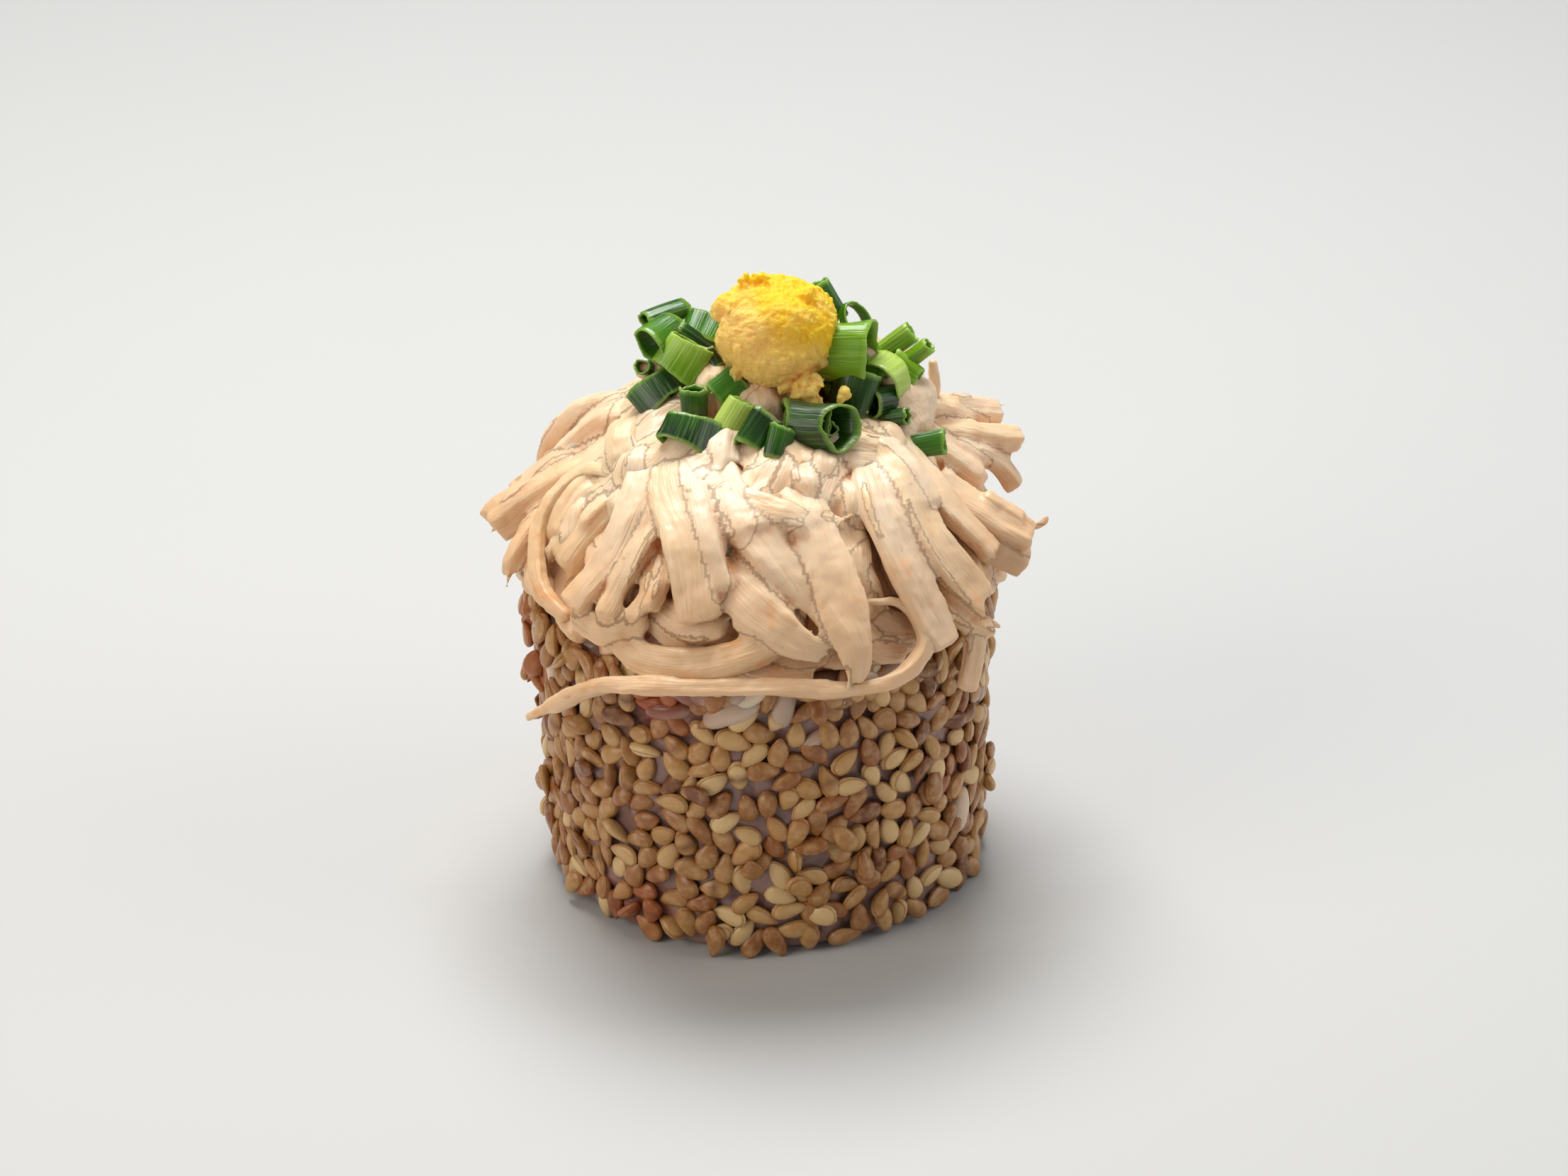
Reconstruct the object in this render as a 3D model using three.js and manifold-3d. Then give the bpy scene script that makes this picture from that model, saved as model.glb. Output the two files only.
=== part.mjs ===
/**
 * A round slice of inside-out sushi roll that stands on its flat foot. Its side is coated with toasted
 * sesame seeds. On top lie a heap of shredded chicken, chopped scallion and a crumbly ball of egg yolk.
 *
 * Millimetres, +Z up. The origin is the middle of the foot. An azimuth is in degrees round the Z axis,
 * 0 towards the front (-Y) and 90 towards +X. A way point is [azimuth, radius, height].
 */
import * as THREE from 'three';
import { mergeVertices } from 'three/addons/utils/BufferGeometryUtils.js';
import Module from 'manifold-3d';

const wasm = await Module();
wasm.setup();

const SEED = 20;
const GAP = 0.3;                    // clear space between two nodes

// Rice roll
const ROLL_HEIGHT = 26;
const RICE_RADIUS = { foot: 17.9, top: 18.5 };
const RICE_EDGE_ROUND = 1.1;
const RICE_SIDES = 24;
const KERNEL_SIDES = 4;
const KERNEL_RINGS = 3;
const SESAME = {
  length: 3.0, width: 1.9, thick: 1.7, sunk: 0.2, narrowing: 0.22, spacing: 3.2,
  heights: [1.3, 24.9], sizes: [0.9, 1.1],
};
const SESAME_DRAWS = 6000;
const GRAIN = { length: 5.6, width: 2.3, thick: 2.4, sunk: 0.35, narrowing: 0.08 };
const GRAIN_KEEP_OFF = 2.6;         // no sesame centre lies closer than this to the middle of a grain
const GRAINS = [                    // [azimuth, height, turn] of the rice grains that show
  [-23, 23.6, 15], [-10, 24.7, -20], [5, 24.6, 65], [61, 8, 80], [-82, 23.2, 30], [-71, 20.6, -70],
  [112, 24.2, 20], [158, 24.6, -35], [201, 24.3, 40], [238, 24.6, -15], [130, 10.5, 60], [222, 7.5, 75],
];

// Chicken heap
const HEAP_HEIGHT = 43.2;           // the dome that the shreds follow
const HEAP_DROP = 20.2;
const HEAP_RADIUS = 23.5;
const HEAP_POWER = 2.6;
const CORE_DEPTH = 0.4;             // the heap's core lies this far under that dome
const CORE_EDGE = 0.7;              // how far its lower edge is rounded
const CORE_LUMP = 0.35;
const CORE_WAVES = 6;
const CORE_CALM = 6;                // the lumps fade out inside this radius
const CORE_SIDES = 20;
const CORE_RINGS = 4;
const SHRED_SIDES = 5;
const SHRED_STEPS_PER_MM = 0.24;
const COAT_RADIUS = 20.3;           // hanging chicken stays outside this, clear of the sesame
const END = { square: 0.78, round: 0.55, point: 0.22 };  // width at a shred's end, as a share
const TAPER = 0.32;                 // the share of a shred's length over which an end narrows

const SHREDS = [
  { wide: 3.6, thick: 2.6, end: 'square', way: [[-87, 13.5, 37.5], [-87, 17, 35], [-88, 22, 31]] },
  { wide: 2, thick: 1.8, end: 'square', way: [[-92, 14.5, 37.5], [-93, 17, 36.5], [-93, 21.5, 33.5]] },
  { wide: 2, thick: 1.7, end: 'point', way: [[-85, 16, 34.5], [-80, 19, 33], [-76, 21.5, 29.5]] },
  {
    wide: 1.5, thick: 1.4, end: 'round',
    way: [
      [-50, 12, 38.9], [-60, 15.5, 38.5], [-64, 18, 37], [-59, 20.5, 34.5], [-54, 21, 32.5], [-43, 20.7, 30],
    ],
  },
  { wide: 3.4, thick: 2.2, end: 'round', way: [[-94, 10, 41], [-71, 11.5, 41], [-58, 12.5, 39.5]] },
  {
    wide: 2.2, thick: 2, end: 'round',
    way: [[-108, 9.5, 41.3], [-115, 15, 39.3], [-115, 18.5, 36.3], [-110, 19.5, 31]],
  },
  { wide: 2.6, thick: 2, end: 'round', way: [[-110, 12, 40], [-107, 14, 38], [-100, 15, 35]] },
  { wide: 4, thick: 3, end: 'round', way: [[-72, 15.5, 36], [-67, 19, 32]] },
  { wide: 3.6, thick: 2.8, end: 'round', way: [[-57, 16.5, 35], [-60, 19.5, 31.5]] },
  { wide: 3.4, thick: 2.4, end: 'round', way: [[-80, 19, 30], [-70, 20.5, 28], [-60, 20.5, 28.5]] },
  {
    wide: 3, thick: 2.2, end: 'square',
    way: [[-59, 10, 41], [-32, 13.5, 40], [-20, 17, 37.5], [-14, 20, 32.5]],
  },
  {
    wide: 2.2, thick: 2, end: 'square',
    way: [[-42, 10, 41], [-21, 14, 39.5], [-15, 16.5, 37], [-10, 19.5, 33]],
  },
  {
    wide: 2.3, thick: 2, end: 'square',
    way: [[-48, 12.5, 40.5], [-41, 15.5, 38], [-41, 17.5, 35.5], [-45, 21, 31.5]],
  },
  { wide: 2, thick: 1.8, end: 'square', way: [[-35, 13.5, 39], [-33, 17, 36.5], [-36, 21, 31.5]] },
  { wide: 1.9, thick: 1.6, end: 'round', way: [[-27, 16, 35.5], [-26, 18.5, 34], [-27, 20, 32.5]] },
  { wide: 2.3, thick: 1.4, end: 'point', way: [[-25, 6, 42.5], [-9, 11.5, 41.5], [0, 15.5, 38.5]] },
  { wide: 2.3, thick: 1.5, end: 'round', way: [[3, 13, 39.8], [15, 14, 39.2], [31, 13.5, 38.2]] },
  {
    wide: 2.6, thick: 1.8, end: 'point',
    way: [[-8, 13, 39.5], [3, 15.5, 37.5], [10, 18, 35], [14, 20.5, 31.5]],
  },
  {
    wide: 4.4, thick: 2, end: 'round',
    way: [[22, 13.5, 38], [19, 16.5, 36], [19, 19.5, 33], [20, 22, 30], [19, 23, 27.5]],
  },
  {
    wide: 2.8, thick: 2.2, end: 'square',
    way: [[42, 11, 40.5], [37, 16, 38], [37, 19, 34.5], [40, 23, 28.5]],
  },
  { wide: 2, thick: 2, end: 'square', way: [[54, 11, 40], [50, 15, 38], [50, 18.5, 35], [55, 22, 30]] },
  {
    wide: 3, thick: 1.8, end: 'round',
    way: [[74, 11.5, 40], [62, 14.5, 37.8], [59, 17.5, 35.6], [60, 21, 32]],
  },
  { wide: 4.6, thick: 3.4, end: 'square', way: [[73, 16.5, 35.5], [73, 20, 33], [76, 23, 30]] },
  { wide: 1.2, thick: 1.2, end: 'point', way: [[77, 21.5, 31.5], [81, 23.5, 31], [84, 24.3, 31.8]] },
  { wide: 2.2, thick: 2, end: 'round', way: [[78, 14.5, 37], [81, 17.5, 35], [95, 22, 31]] },
  { wide: 2.2, thick: 2, end: 'round', way: [[104, 12, 40], [113, 17.5, 37.8], [111, 21.5, 36]] },
  {
    wide: 2, thick: 1.8, end: 'round',
    way: [[98, 15, 38.5], [105, 19, 35.5], [106, 21, 33.5], [103, 21.5, 31]],
  },
  { wide: 1.8, thick: 1.7, end: 'round', way: [[107, 20, 36.5], [105, 22.5, 34]] },
  { wide: 1, thick: 1, end: 'round', way: [[102, 15, 36.8], [104, 16, 41], [105, 15.7, 44]] },
  { wide: 2.2, thick: 1.6, end: 'point', way: [[46, 19.5, 31.5], [48, 21.5, 29.5], [54, 23, 27]] },
  { wide: 2.2, thick: 1.5, end: 'square', way: [[53, 21, 30], [50, 22.5, 27], [45, 23.3, 23.8]] },
  {
    wide: 1.7, thick: 1.5, start: 'point', end: 'point',
    way: [
      [-54, 24, 21], [-44, 23.5, 24.5], [-34, 23, 27], [-15, 22, 28.3], [4, 21.5, 28.3], [19, 22.5, 27.5],
      [29, 23, 27.5], [36, 22.5, 29.5], [34, 20.5, 32], [25, 19, 32.5],
    ],
  },
  {
    wide: 3.4, thick: 2.2, end: 'round',
    way: [[-36, 20.5, 29.5], [-25, 21, 29], [-11, 21, 30], [3, 20.5, 31.5], [14, 20.5, 30.5]],
  },
  { wide: 2.6, thick: 1.5, end: 'round', way: [[-1, 18.5, 32.5], [6, 20, 32], [13, 21, 30]] },
  { wide: 2.4, thick: 1.4, end: 'round', way: [[-47, 20.5, 30], [-37, 20.5, 30], [-26, 19.5, 32]] },
];

// The far side of the heap: shreds that run down it, and shreds along its rim
const FAR = { first: 100, last: 254 };
const DOWN = {
  count: 12, shift: 3, bow: 6, from: [9.5, 13], to: [19.8, 22.4], lift: [0.2, 1.8],
  wide: [2, 3.6], thick: [1.6, 2.4],
};
const ALONG = {
  count: 3, shift: 5, span: [14, 20], radius: [20.4, 21.2], height: [28.2, 30],
  wide: [2.4, 3.4], thick: [1.8, 2.4],
};

// Scallion
const SCALLION_WALL = 0.55;
const SCALLION_SIDES = 6;
const BED = { middle: [1.4, 0.2, 42.2], half: [9.6, 7.6, 2.3] };   // leaf scraps that carry the rings
const LOBES = [                                                  // higher parts of that bed
  { middle: [-6, 2.2, 44.2], half: [3.6, 3.8, 2.6] },
  { middle: [9.3, 1.8, 44], half: [3.8, 3.8, 2.4] },
  { middle: [4, 5, 44], half: [5.5, 2.6, 3.9] },
];
const RINGS = [   // at, turn and pitch of the axis in degrees, outer radius, length, flattening
  { at: [-7.4, 4.5, 48.3], turn: -150, pitch: 0, radius: 1.9, length: 3, flat: 0.8 },
  { at: [-7.7, 1.5, 47.7], turn: -140, pitch: 0, radius: 1.5, length: 4, flat: 0.9 },
  { at: [-5.8, -0.5, 46.7], turn: -127, pitch: -20, radius: 2, length: 3, flat: 0.85 },
  { at: [-9.1, 0.5, 45.5], turn: -100, pitch: 0, radius: 1.2, length: 2, flat: 0.8 },
  { at: [-4.3, 3, 47.1], turn: -60, pitch: 10, radius: 2.1, length: 3, flat: 0.85 },
  { at: [-8.4, -1.2, 43.6], turn: -115, pitch: -10, radius: 2.2, length: 3, flat: 0.6 },
  { at: [-2.2, -2.7, 44.8], turn: -146, pitch: 0, radius: 1.4, length: 2.6, flat: 0.85 },
  { at: [-5, -3.6, 44], turn: -90, pitch: 80, radius: 1.1, length: 2.2, flat: 0.8 },
  { at: [-5.4, -6.6, 42.5], turn: -105, pitch: -25, radius: 2.3, length: 2.6, flat: 0.5 },
  { at: [-1.8, -5.6, 43.4], turn: -125, pitch: -25, radius: 1.5, length: 2.3, flat: 0.8 },
  { at: [0, -7, 43], turn: -120, pitch: -35, radius: 1.6, length: 3.2, flat: 0.7 },
  { at: [1.7, -8, 42.4], turn: -100, pitch: -45, radius: 1.1, length: 2.6, flat: 0.8 },
  { at: [4.9, -5.9, 42.7], turn: -25, pitch: -5, radius: 1.75, length: 4.5, flat: 0.9 },
  { at: [7.8, 0, 46.9], turn: -15, pitch: 0, radius: 2.2, length: 3.9, flat: 0.95 },
  { at: [11.9, 3, 45.9], turn: 30, pitch: 0, radius: 1.3, length: 3.2, flat: 0.9 },
  { at: [13.2, 1.8, 45.6], turn: 30, pitch: 0, radius: 1, length: 2.8, flat: 0.9 },
  { at: [12.1, 1, 44.1], turn: -45, pitch: -20, radius: 1.5, length: 3, flat: 0.8 },
  { at: [10.8, 0, 44.1], turn: -140, pitch: 0, radius: 2.4, length: 2, flat: 0.9 },
  { at: [8.3, -1.7, 44.2], turn: -80, pitch: -50, radius: 1.7, length: 3, flat: 0.8 },
  { at: [10.4, -1.4, 42.6], turn: -160, pitch: 0, radius: 1.3, length: 2.6, flat: 0.85 },
  { at: [11.4, -1.8, 41.4], turn: -150, pitch: 0, radius: 0.9, length: 1.8, flat: 0.8 },
  { at: [6, 5.7, 48.7], turn: -45, pitch: 0, radius: 1.6, length: 3.5, flat: 0.8 },
  { at: [8.2, 4.3, 47.3], turn: -70, pitch: 0, radius: 1.7, length: 1.6, flat: 0.7 },
];
const FAR_RINGS = {
  count: 4, first: 118, last: 243, out: [5.8, 7.6], height: [43.9, 45.6], pitch: [-25, 25],
  radius: [1.1, 1.9], length: [2, 3.4], flat: [0.65, 0.95],
};
const STRAY = { at: [14, -3, 39.4], turn: 20, pitch: 0, radius: 1.1, length: 2.5, flat: 0.6 };

// Egg yolk
const YOLK = { middle: [1.8, 0, 48.4], radius: 4.7, lump: 0.33 };   // lump: how far it swells in and out
const YOLK_DETAIL = 2;
const YOLK_LUMPS = [                // [x, y, z, radius]
  [3.8, -4, 45.1, 1.5], [1.2, 1, 52.6, 0.8], [-0.3, 0.6, 52.3, 0.7], [2.6, 0.4, 52.5, 0.7],
  [-2.4, -1, 50.8, 0.8], [5.9, -0.6, 49.4, 0.9], [5.4, -1.8, 46.6, 0.8], [-1.7, -2.6, 46.2, 0.8],
];
const YOLK_CRUMBS = { count: 8, radius: [0.42, 0.72], height: [-0.6, 0.9] };

const UP = new THREE.Vector3(0, 0, 1);

/** A repeatable stream of numbers from 0 to 1. */
function randomStream(seed) {
  let state = seed;
  return () => {
    state = (state + 0x6d2b79f5) | 0;
    let mixed = Math.imul(state ^ (state >>> 15), 1 | state);
    mixed = (mixed + Math.imul(mixed ^ (mixed >>> 7), 61 | mixed)) ^ mixed;
    return ((mixed ^ (mixed >>> 14)) >>> 0) / 4294967296;
  };
}

/** A number drawn from a range [low, high]. */
function between(random, [low, high]) {
  return THREE.MathUtils.lerp(low, high, random());
}

/** The point at an azimuth, a radius and a height. */
function polar(azimuth, radius, height) {
  const angle = THREE.MathUtils.degToRad(azimuth);
  return new THREE.Vector3(radius * Math.sin(angle), -radius * Math.cos(angle), height);
}

/** Moves each vertex of a geometry by a function of its place. */
function reshape(geometry, move) {
  const places = geometry.attributes.position;
  const point = new THREE.Vector3();
  for (let i = 0; i < places.count; i += 1) {
    point.fromBufferAttribute(places, i);
    const moved = move(point);
    places.setXYZ(i, moved.x, moved.y, moved.z);
  }
  return geometry;
}

/** A closed geometry as a solid that can be joined and cut. */
function toSolid(geometry) {
  geometry.deleteAttribute('normal');
  geometry.deleteAttribute('uv');
  const merged = mergeVertices(geometry, 1e-5);
  const vertProperties = new Float32Array(merged.attributes.position.array);
  const triVerts = new Uint32Array(merged.index.array);
  return new wasm.Manifold(new wasm.Mesh({ numProp: 3, vertProperties, triVerts }));
}

/** All the solids of a list joined into one. */
function fuse(solids) {
  let round = solids;
  while (round.length > 1) {
    const next = [];
    for (let i = 0; i < round.length; i += 2) {
      next.push(i + 1 < round.length ? round[i].add(round[i + 1]) : round[i]);
    }
    round = next;
  }
  return round[0];
}

/** The largest of a solid's separate pieces, so that no loose scrap is left. */
function largestPiece(solid) {
  const pieces = solid.decompose();
  pieces.sort((a, b) => b.volume() - a.volume());
  return pieces[0];
}

/** A solid as a three.js geometry. */
function toGeometry(solid) {
  const { vertProperties, triVerts } = solid.getMesh();
  const geometry = new THREE.BufferGeometry();
  geometry.setAttribute('position', new THREE.BufferAttribute(vertProperties, 3));
  geometry.setIndex(new THREE.BufferAttribute(triVerts, 1));
  geometry.computeVertexNormals();
  return geometry;
}

/** An upright cylinder between two heights. */
function pillar(radius, low, high, sides) {
  const geometry = new THREE.CylinderGeometry(radius, radius, high - low, sides);
  geometry.rotateX(Math.PI / 2);
  geometry.translate(0, 0, (low + high) / 2);
  return toSolid(geometry);
}

/** The rice's radius at a height: slightly wider towards the top. */
function riceRadius(height) {
  return THREE.MathUtils.lerp(RICE_RADIUS.foot, RICE_RADIUS.top, height / ROLL_HEIGHT);
}

/** The plain rice cylinder with rounded edges. */
function riceCore() {
  const low = RICE_EDGE_ROUND;
  const high = ROLL_HEIGHT - RICE_EDGE_ROUND;
  const profile = [
    new THREE.Vector2(0, 0),
    new THREE.Vector2(riceRadius(0) - RICE_EDGE_ROUND, 0),
    new THREE.Vector2(riceRadius(low), low),
    new THREE.Vector2(riceRadius(high), high),
    new THREE.Vector2(riceRadius(ROLL_HEIGHT) - RICE_EDGE_ROUND, ROLL_HEIGHT),
    new THREE.Vector2(0, ROLL_HEIGHT),
  ];
  const geometry = new THREE.LatheGeometry(profile, RICE_SIDES);
  geometry.rotateX(Math.PI / 2);
  return toSolid(geometry);
}

/**
 * A seed or grain that lies on the roll's side: an ellipsoid, narrower towards one end, with its length
 * turned in the side's plane.
 */
function kernel([azimuth, height, turn], size) {
  const out = polar(azimuth, 1, 0);
  const round = new THREE.Vector3().crossVectors(UP, out);
  const angle = THREE.MathUtils.degToRad(turn);
  const along = round.clone().multiplyScalar(Math.cos(angle)).addScaledVector(UP, Math.sin(angle));
  const across = new THREE.Vector3().crossVectors(out, along);
  const middle = polar(azimuth, riceRadius(height) - size.sunk, height);
  const geometry = new THREE.SphereGeometry(1, KERNEL_SIDES, KERNEL_RINGS);
  reshape(geometry, (p) => {
    const slim = 1 - size.narrowing * p.y;
    return middle.clone()
      .addScaledVector(along, (p.y * size.length) / 2)
      .addScaledVector(across, (p.x * slim * size.width) / 2)
      .addScaledVector(out, (-p.z * slim * size.thick) / 2);
  });
  return toSolid(geometry);
}

/** The places of the sesame seeds: random, but never closer to each other than their spacing. */
function sesamePlaces(random) {
  const places = [];
  const girth = 2 * Math.PI * riceRadius(ROLL_HEIGHT / 2);
  const distance = (azimuth, height, other) => {
    const turn = Math.abs(azimuth - other[0]) % 360;
    const round = (Math.min(turn, 360 - turn) / 360) * girth;
    return Math.hypot(round, height - other[1]);
  };
  for (let i = 0; i < SESAME_DRAWS; i += 1) {
    const azimuth = between(random, [0, 360]);
    const height = between(random, SESAME.heights);
    const clear = places.every((other) => distance(azimuth, height, other) > SESAME.spacing);
    const offGrains = GRAINS.every((grain) => distance(azimuth, height, grain) > GRAIN_KEEP_OFF);
    if (clear && offGrains) {
      places.push([azimuth, height, between(random, [0, 180])]);
    }
  }
  return places;
}

/** The rice roll with its sesame coat, cut level at the foot and the top. */
function sesameRiceRoll(random) {
  const pieces = [riceCore()];
  for (const place of GRAINS) {
    pieces.push(kernel(place, GRAIN));
  }
  for (const place of sesamePlaces(random)) {
    const size = between(random, SESAME.sizes);
    const seed = { ...SESAME, length: SESAME.length * size, width: SESAME.width * size };
    pieces.push(kernel(place, seed));
  }
  const level = pillar(RICE_RADIUS.top + SESAME.length, 0, ROLL_HEIGHT, RICE_SIDES);
  return largestPiece(fuse(pieces).intersect(level));
}

/** The height of the heap's dome at a radius. */
function heapHeight(radius) {
  return HEAP_HEIGHT - HEAP_DROP * (radius / HEAP_RADIUS) ** HEAP_POWER;
}

/** The direction straight out of the heap's dome at a point. */
function heapNormal(point) {
  const radius = Math.min(Math.hypot(point.x, point.y), HEAP_RADIUS);
  const slope = (HEAP_DROP * HEAP_POWER / HEAP_RADIUS) * (radius / HEAP_RADIUS) ** (HEAP_POWER - 1);
  const out = new THREE.Vector3(point.x, point.y, 0).normalize();
  return out.multiplyScalar(slope).add(UP).normalize();
}

/** The heap's lumpy core, flat where it lies on the rice. */
function chickenCore() {
  const low = ROLL_HEIGHT + GAP;
  const drop = HEAP_HEIGHT - CORE_DEPTH - low - CORE_EDGE;
  const radius = HEAP_RADIUS * (drop / HEAP_DROP) ** (1 / HEAP_POWER);
  const profile = [new THREE.Vector2(0, low), new THREE.Vector2(radius - CORE_EDGE, low)];
  for (let i = CORE_RINGS; i >= 0; i -= 1) {
    const r = radius * (i / CORE_RINGS);
    profile.push(new THREE.Vector2(r, heapHeight(r) - CORE_DEPTH));
  }
  const geometry = new THREE.LatheGeometry(profile, CORE_SIDES);
  geometry.rotateX(Math.PI / 2);
  reshape(geometry, (p) => {
    const r = Math.hypot(p.x, p.y);
    const wave = Math.sin(CORE_WAVES * Math.atan2(p.y, p.x) + 0.5 * r) * Math.min(r / CORE_CALM, 1);
    const lump = p.z > low + CORE_EDGE / 2 ? CORE_LUMP * wave : 0;
    return p.addScaledVector(heapNormal(p), lump);
  });
  return toSolid(geometry);
}

/** A shred's width at a share of its length, as a share of its full width. */
function taper(t, start, end) {
  const opening = THREE.MathUtils.lerp(start, 1, THREE.MathUtils.smoothstep(t, 0, TAPER));
  const closing = THREE.MathUtils.lerp(end, 1, THREE.MathUtils.smoothstep(1 - t, 0, TAPER));
  return opening * closing;
}

/** A shred: a flattened round bar along a smooth way, with its flat side towards the heap. */
function shred({ wide, thick, start = 'round', end, way }) {
  const curve = new THREE.CatmullRomCurve3(way.map(([a, r, h]) => polar(a, r, h)));
  const steps = Math.max(3, Math.round(curve.getLength() * SHRED_STEPS_PER_MM));
  const geometry = new THREE.CylinderGeometry(1, 1, 1, SHRED_SIDES, steps);
  reshape(geometry, (p) => {
    const t = p.y + 0.5;
    const middle = curve.getPointAt(t);
    const along = curve.getTangentAt(t);
    const across = new THREE.Vector3().crossVectors(along, heapNormal(middle)).normalize();
    const out = new THREE.Vector3().crossVectors(across, along);
    const size = taper(t, END[start], END[end]);
    return middle
      .addScaledVector(across, (p.x * wide * size) / 2)
      .addScaledVector(out, (p.z * thick * size) / 2);
  });
  return toSolid(geometry);
}

/** An azimuth at a share of the way round the far side, shifted a little at random. */
function farAzimuth(share, shift, random) {
  return THREE.MathUtils.lerp(FAR.first, FAR.last, share) + between(random, [-shift, shift]);
}

/** A shred along the far rim, at a share of the way round. */
function alongRim(share, random) {
  const azimuth = farAzimuth(share, ALONG.shift, random);
  const radius = between(random, ALONG.radius);
  const span = between(random, ALONG.span);
  const height = between(random, ALONG.height);
  const way = [
    [azimuth - span, radius - 1, height + 0.5],
    [azimuth, radius, height],
    [azimuth + span, radius - 0.5, height],
  ];
  return { wide: between(random, ALONG.wide), thick: between(random, ALONG.thick), end: 'round', way };
}

/** A shred that runs down the far side, at a share of the way round. */
function downSide(share, random) {
  const azimuth = farAzimuth(share, DOWN.shift, random);
  const bow = between(random, [-DOWN.bow, DOWN.bow]);
  const from = between(random, DOWN.from);
  const to = between(random, DOWN.to);
  const middle = (from + to) / 2;
  const lift = between(random, DOWN.lift);
  const way = [
    [azimuth - bow, from, heapHeight(from)],
    [azimuth + bow, middle, heapHeight(middle) + lift / 2],
    [azimuth, to, heapHeight(to) + lift],
  ];
  const ends = Object.keys(END);
  const end = ends[Math.floor(random() * ends.length)];
  return { wide: between(random, DOWN.wide), thick: between(random, DOWN.thick), end, way };
}

/** The shreds of the far side, laid by a rule like those of the near side. */
function farShreds(random) {
  const made = [];
  for (let i = 0; i < ALONG.count; i += 1) {
    made.push(alongRim((i + 0.5) / ALONG.count, random));
  }
  for (let i = 0; i < DOWN.count; i += 1) {
    made.push(downSide(i / (DOWN.count - 1), random));
  }
  return made;
}

/** The chicken heap, cut clear of the sesame coat and of what lies on it. */
function shreddedChicken(random, toppings) {
  const pieces = [chickenCore()];
  for (const one of [...SHREDS, ...farShreds(random)]) {
    pieces.push(shred(one));
  }
  let heap = fuse(pieces).subtract(pillar(COAT_RADIUS, 0, ROLL_HEIGHT + GAP, 40));
  for (const topping of toppings) {
    heap = heap.subtract(topping);
  }
  return largestPiece(heap);
}

/** An ellipsoid. */
function mound({ middle, half }) {
  const geometry = new THREE.SphereGeometry(1, 7, 4);
  geometry.rotateX(Math.PI / 2);
  geometry.scale(...half);
  geometry.translate(...middle);
  return toSolid(geometry);
}

/** Turns a geometry whose axis is Y to a scallion ring's place. */
function placeRing(geometry, { at, turn, pitch, flat }) {
  geometry.scale(1, 1, flat);
  geometry.rotateZ(-Math.PI / 2);
  geometry.rotateY(-THREE.MathUtils.degToRad(pitch));
  geometry.rotateZ(THREE.MathUtils.degToRad(turn));
  geometry.translate(...at);
  return toSolid(geometry);
}

/** A short open tube of scallion leaf. */
function scallionRing(ring) {
  const half = ring.length / 2;
  const inner = ring.radius - SCALLION_WALL;
  const profile = [
    new THREE.Vector2(inner, -half),
    new THREE.Vector2(ring.radius, -half),
    new THREE.Vector2(ring.radius, half),
    new THREE.Vector2(inner, half),
    new THREE.Vector2(inner, -half),
  ];
  return placeRing(new THREE.LatheGeometry(profile, SCALLION_SIDES), ring);
}

/** The space that a scallion ring keeps free of other nodes. */
function ringRoom(ring) {
  const radius = ring.radius + GAP / Math.cos(Math.PI / SCALLION_SIDES);
  const length = ring.length + 2 * GAP;
  const flat = ring.flat + GAP / ring.radius;
  const geometry = new THREE.CylinderGeometry(radius, radius, length, SCALLION_SIDES);
  return placeRing(geometry, { ...ring, flat });
}

/** The rings on the far side of the yolk, laid by a rule. */
function farRings(random) {
  const made = [];
  for (let i = 0; i < FAR_RINGS.count; i += 1) {
    const azimuth = THREE.MathUtils.lerp(FAR_RINGS.first, FAR_RINGS.last, i / (FAR_RINGS.count - 1));
    made.push({
      at: polar(azimuth, between(random, FAR_RINGS.out), between(random, FAR_RINGS.height)).toArray(),
      turn: between(random, [0, 360]),
      pitch: between(random, FAR_RINGS.pitch),
      radius: between(random, FAR_RINGS.radius),
      length: between(random, FAR_RINGS.length),
      flat: between(random, FAR_RINGS.flat),
    });
  }
  return made;
}

/** The same ellipsoid grown by the gap. */
function grown({ middle, half }) {
  return { middle, half: half.map((size) => size + GAP) };
}

/** Chopped scallion: rings fused to the bed that they lie on, with a hollow for the yolk. */
function choppedScallion(rings, yolkRoom) {
  const pieces = [mound(BED), ...LOBES.map(mound), ...rings.map(scallionRing)];
  return largestPiece(fuse(pieces).subtract(yolkRoom));
}

/** The point on a ball of radius 1 at a height and a turn. */
function onBall(height, turn) {
  const flat = Math.sqrt(1 - height * height);
  return new THREE.Vector3(flat * Math.cos(turn), flat * Math.sin(turn), height);
}

/** The yolk: a lumpy ball with crumbs pressed on it, grown by an amount. */
function eggYolk(random, grow) {
  const middle = new THREE.Vector3(...YOLK.middle);
  const geometry = new THREE.IcosahedronGeometry(1, YOLK_DETAIL);
  reshape(geometry, (p) => {
    const slow = Math.sin(3.1 * p.x + 1) * Math.cos(2.7 * p.y - 4 * p.z);
    const quick = Math.sin(7 * p.y + 5 * p.x + 6 * p.z);
    const radius = YOLK.radius + grow + YOLK.lump * (slow + 0.6 * quick);
    return middle.clone().addScaledVector(p, radius);
  });
  const pieces = [toSolid(geometry)];
  for (const [x, y, z, radius] of YOLK_LUMPS) {
    pieces.push(crumb(new THREE.Vector3(x, y, z), radius + grow, radius > 1 ? 1 : 0));
  }
  for (let i = 0; i < YOLK_CRUMBS.count; i += 1) {
    const out = onBall(between(random, YOLK_CRUMBS.height), between(random, [0, 2 * Math.PI]));
    const place = middle.clone().addScaledVector(out, YOLK.radius);
    pieces.push(crumb(place, between(random, YOLK_CRUMBS.radius) + grow, 0));
  }
  return largestPiece(fuse(pieces));
}

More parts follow.
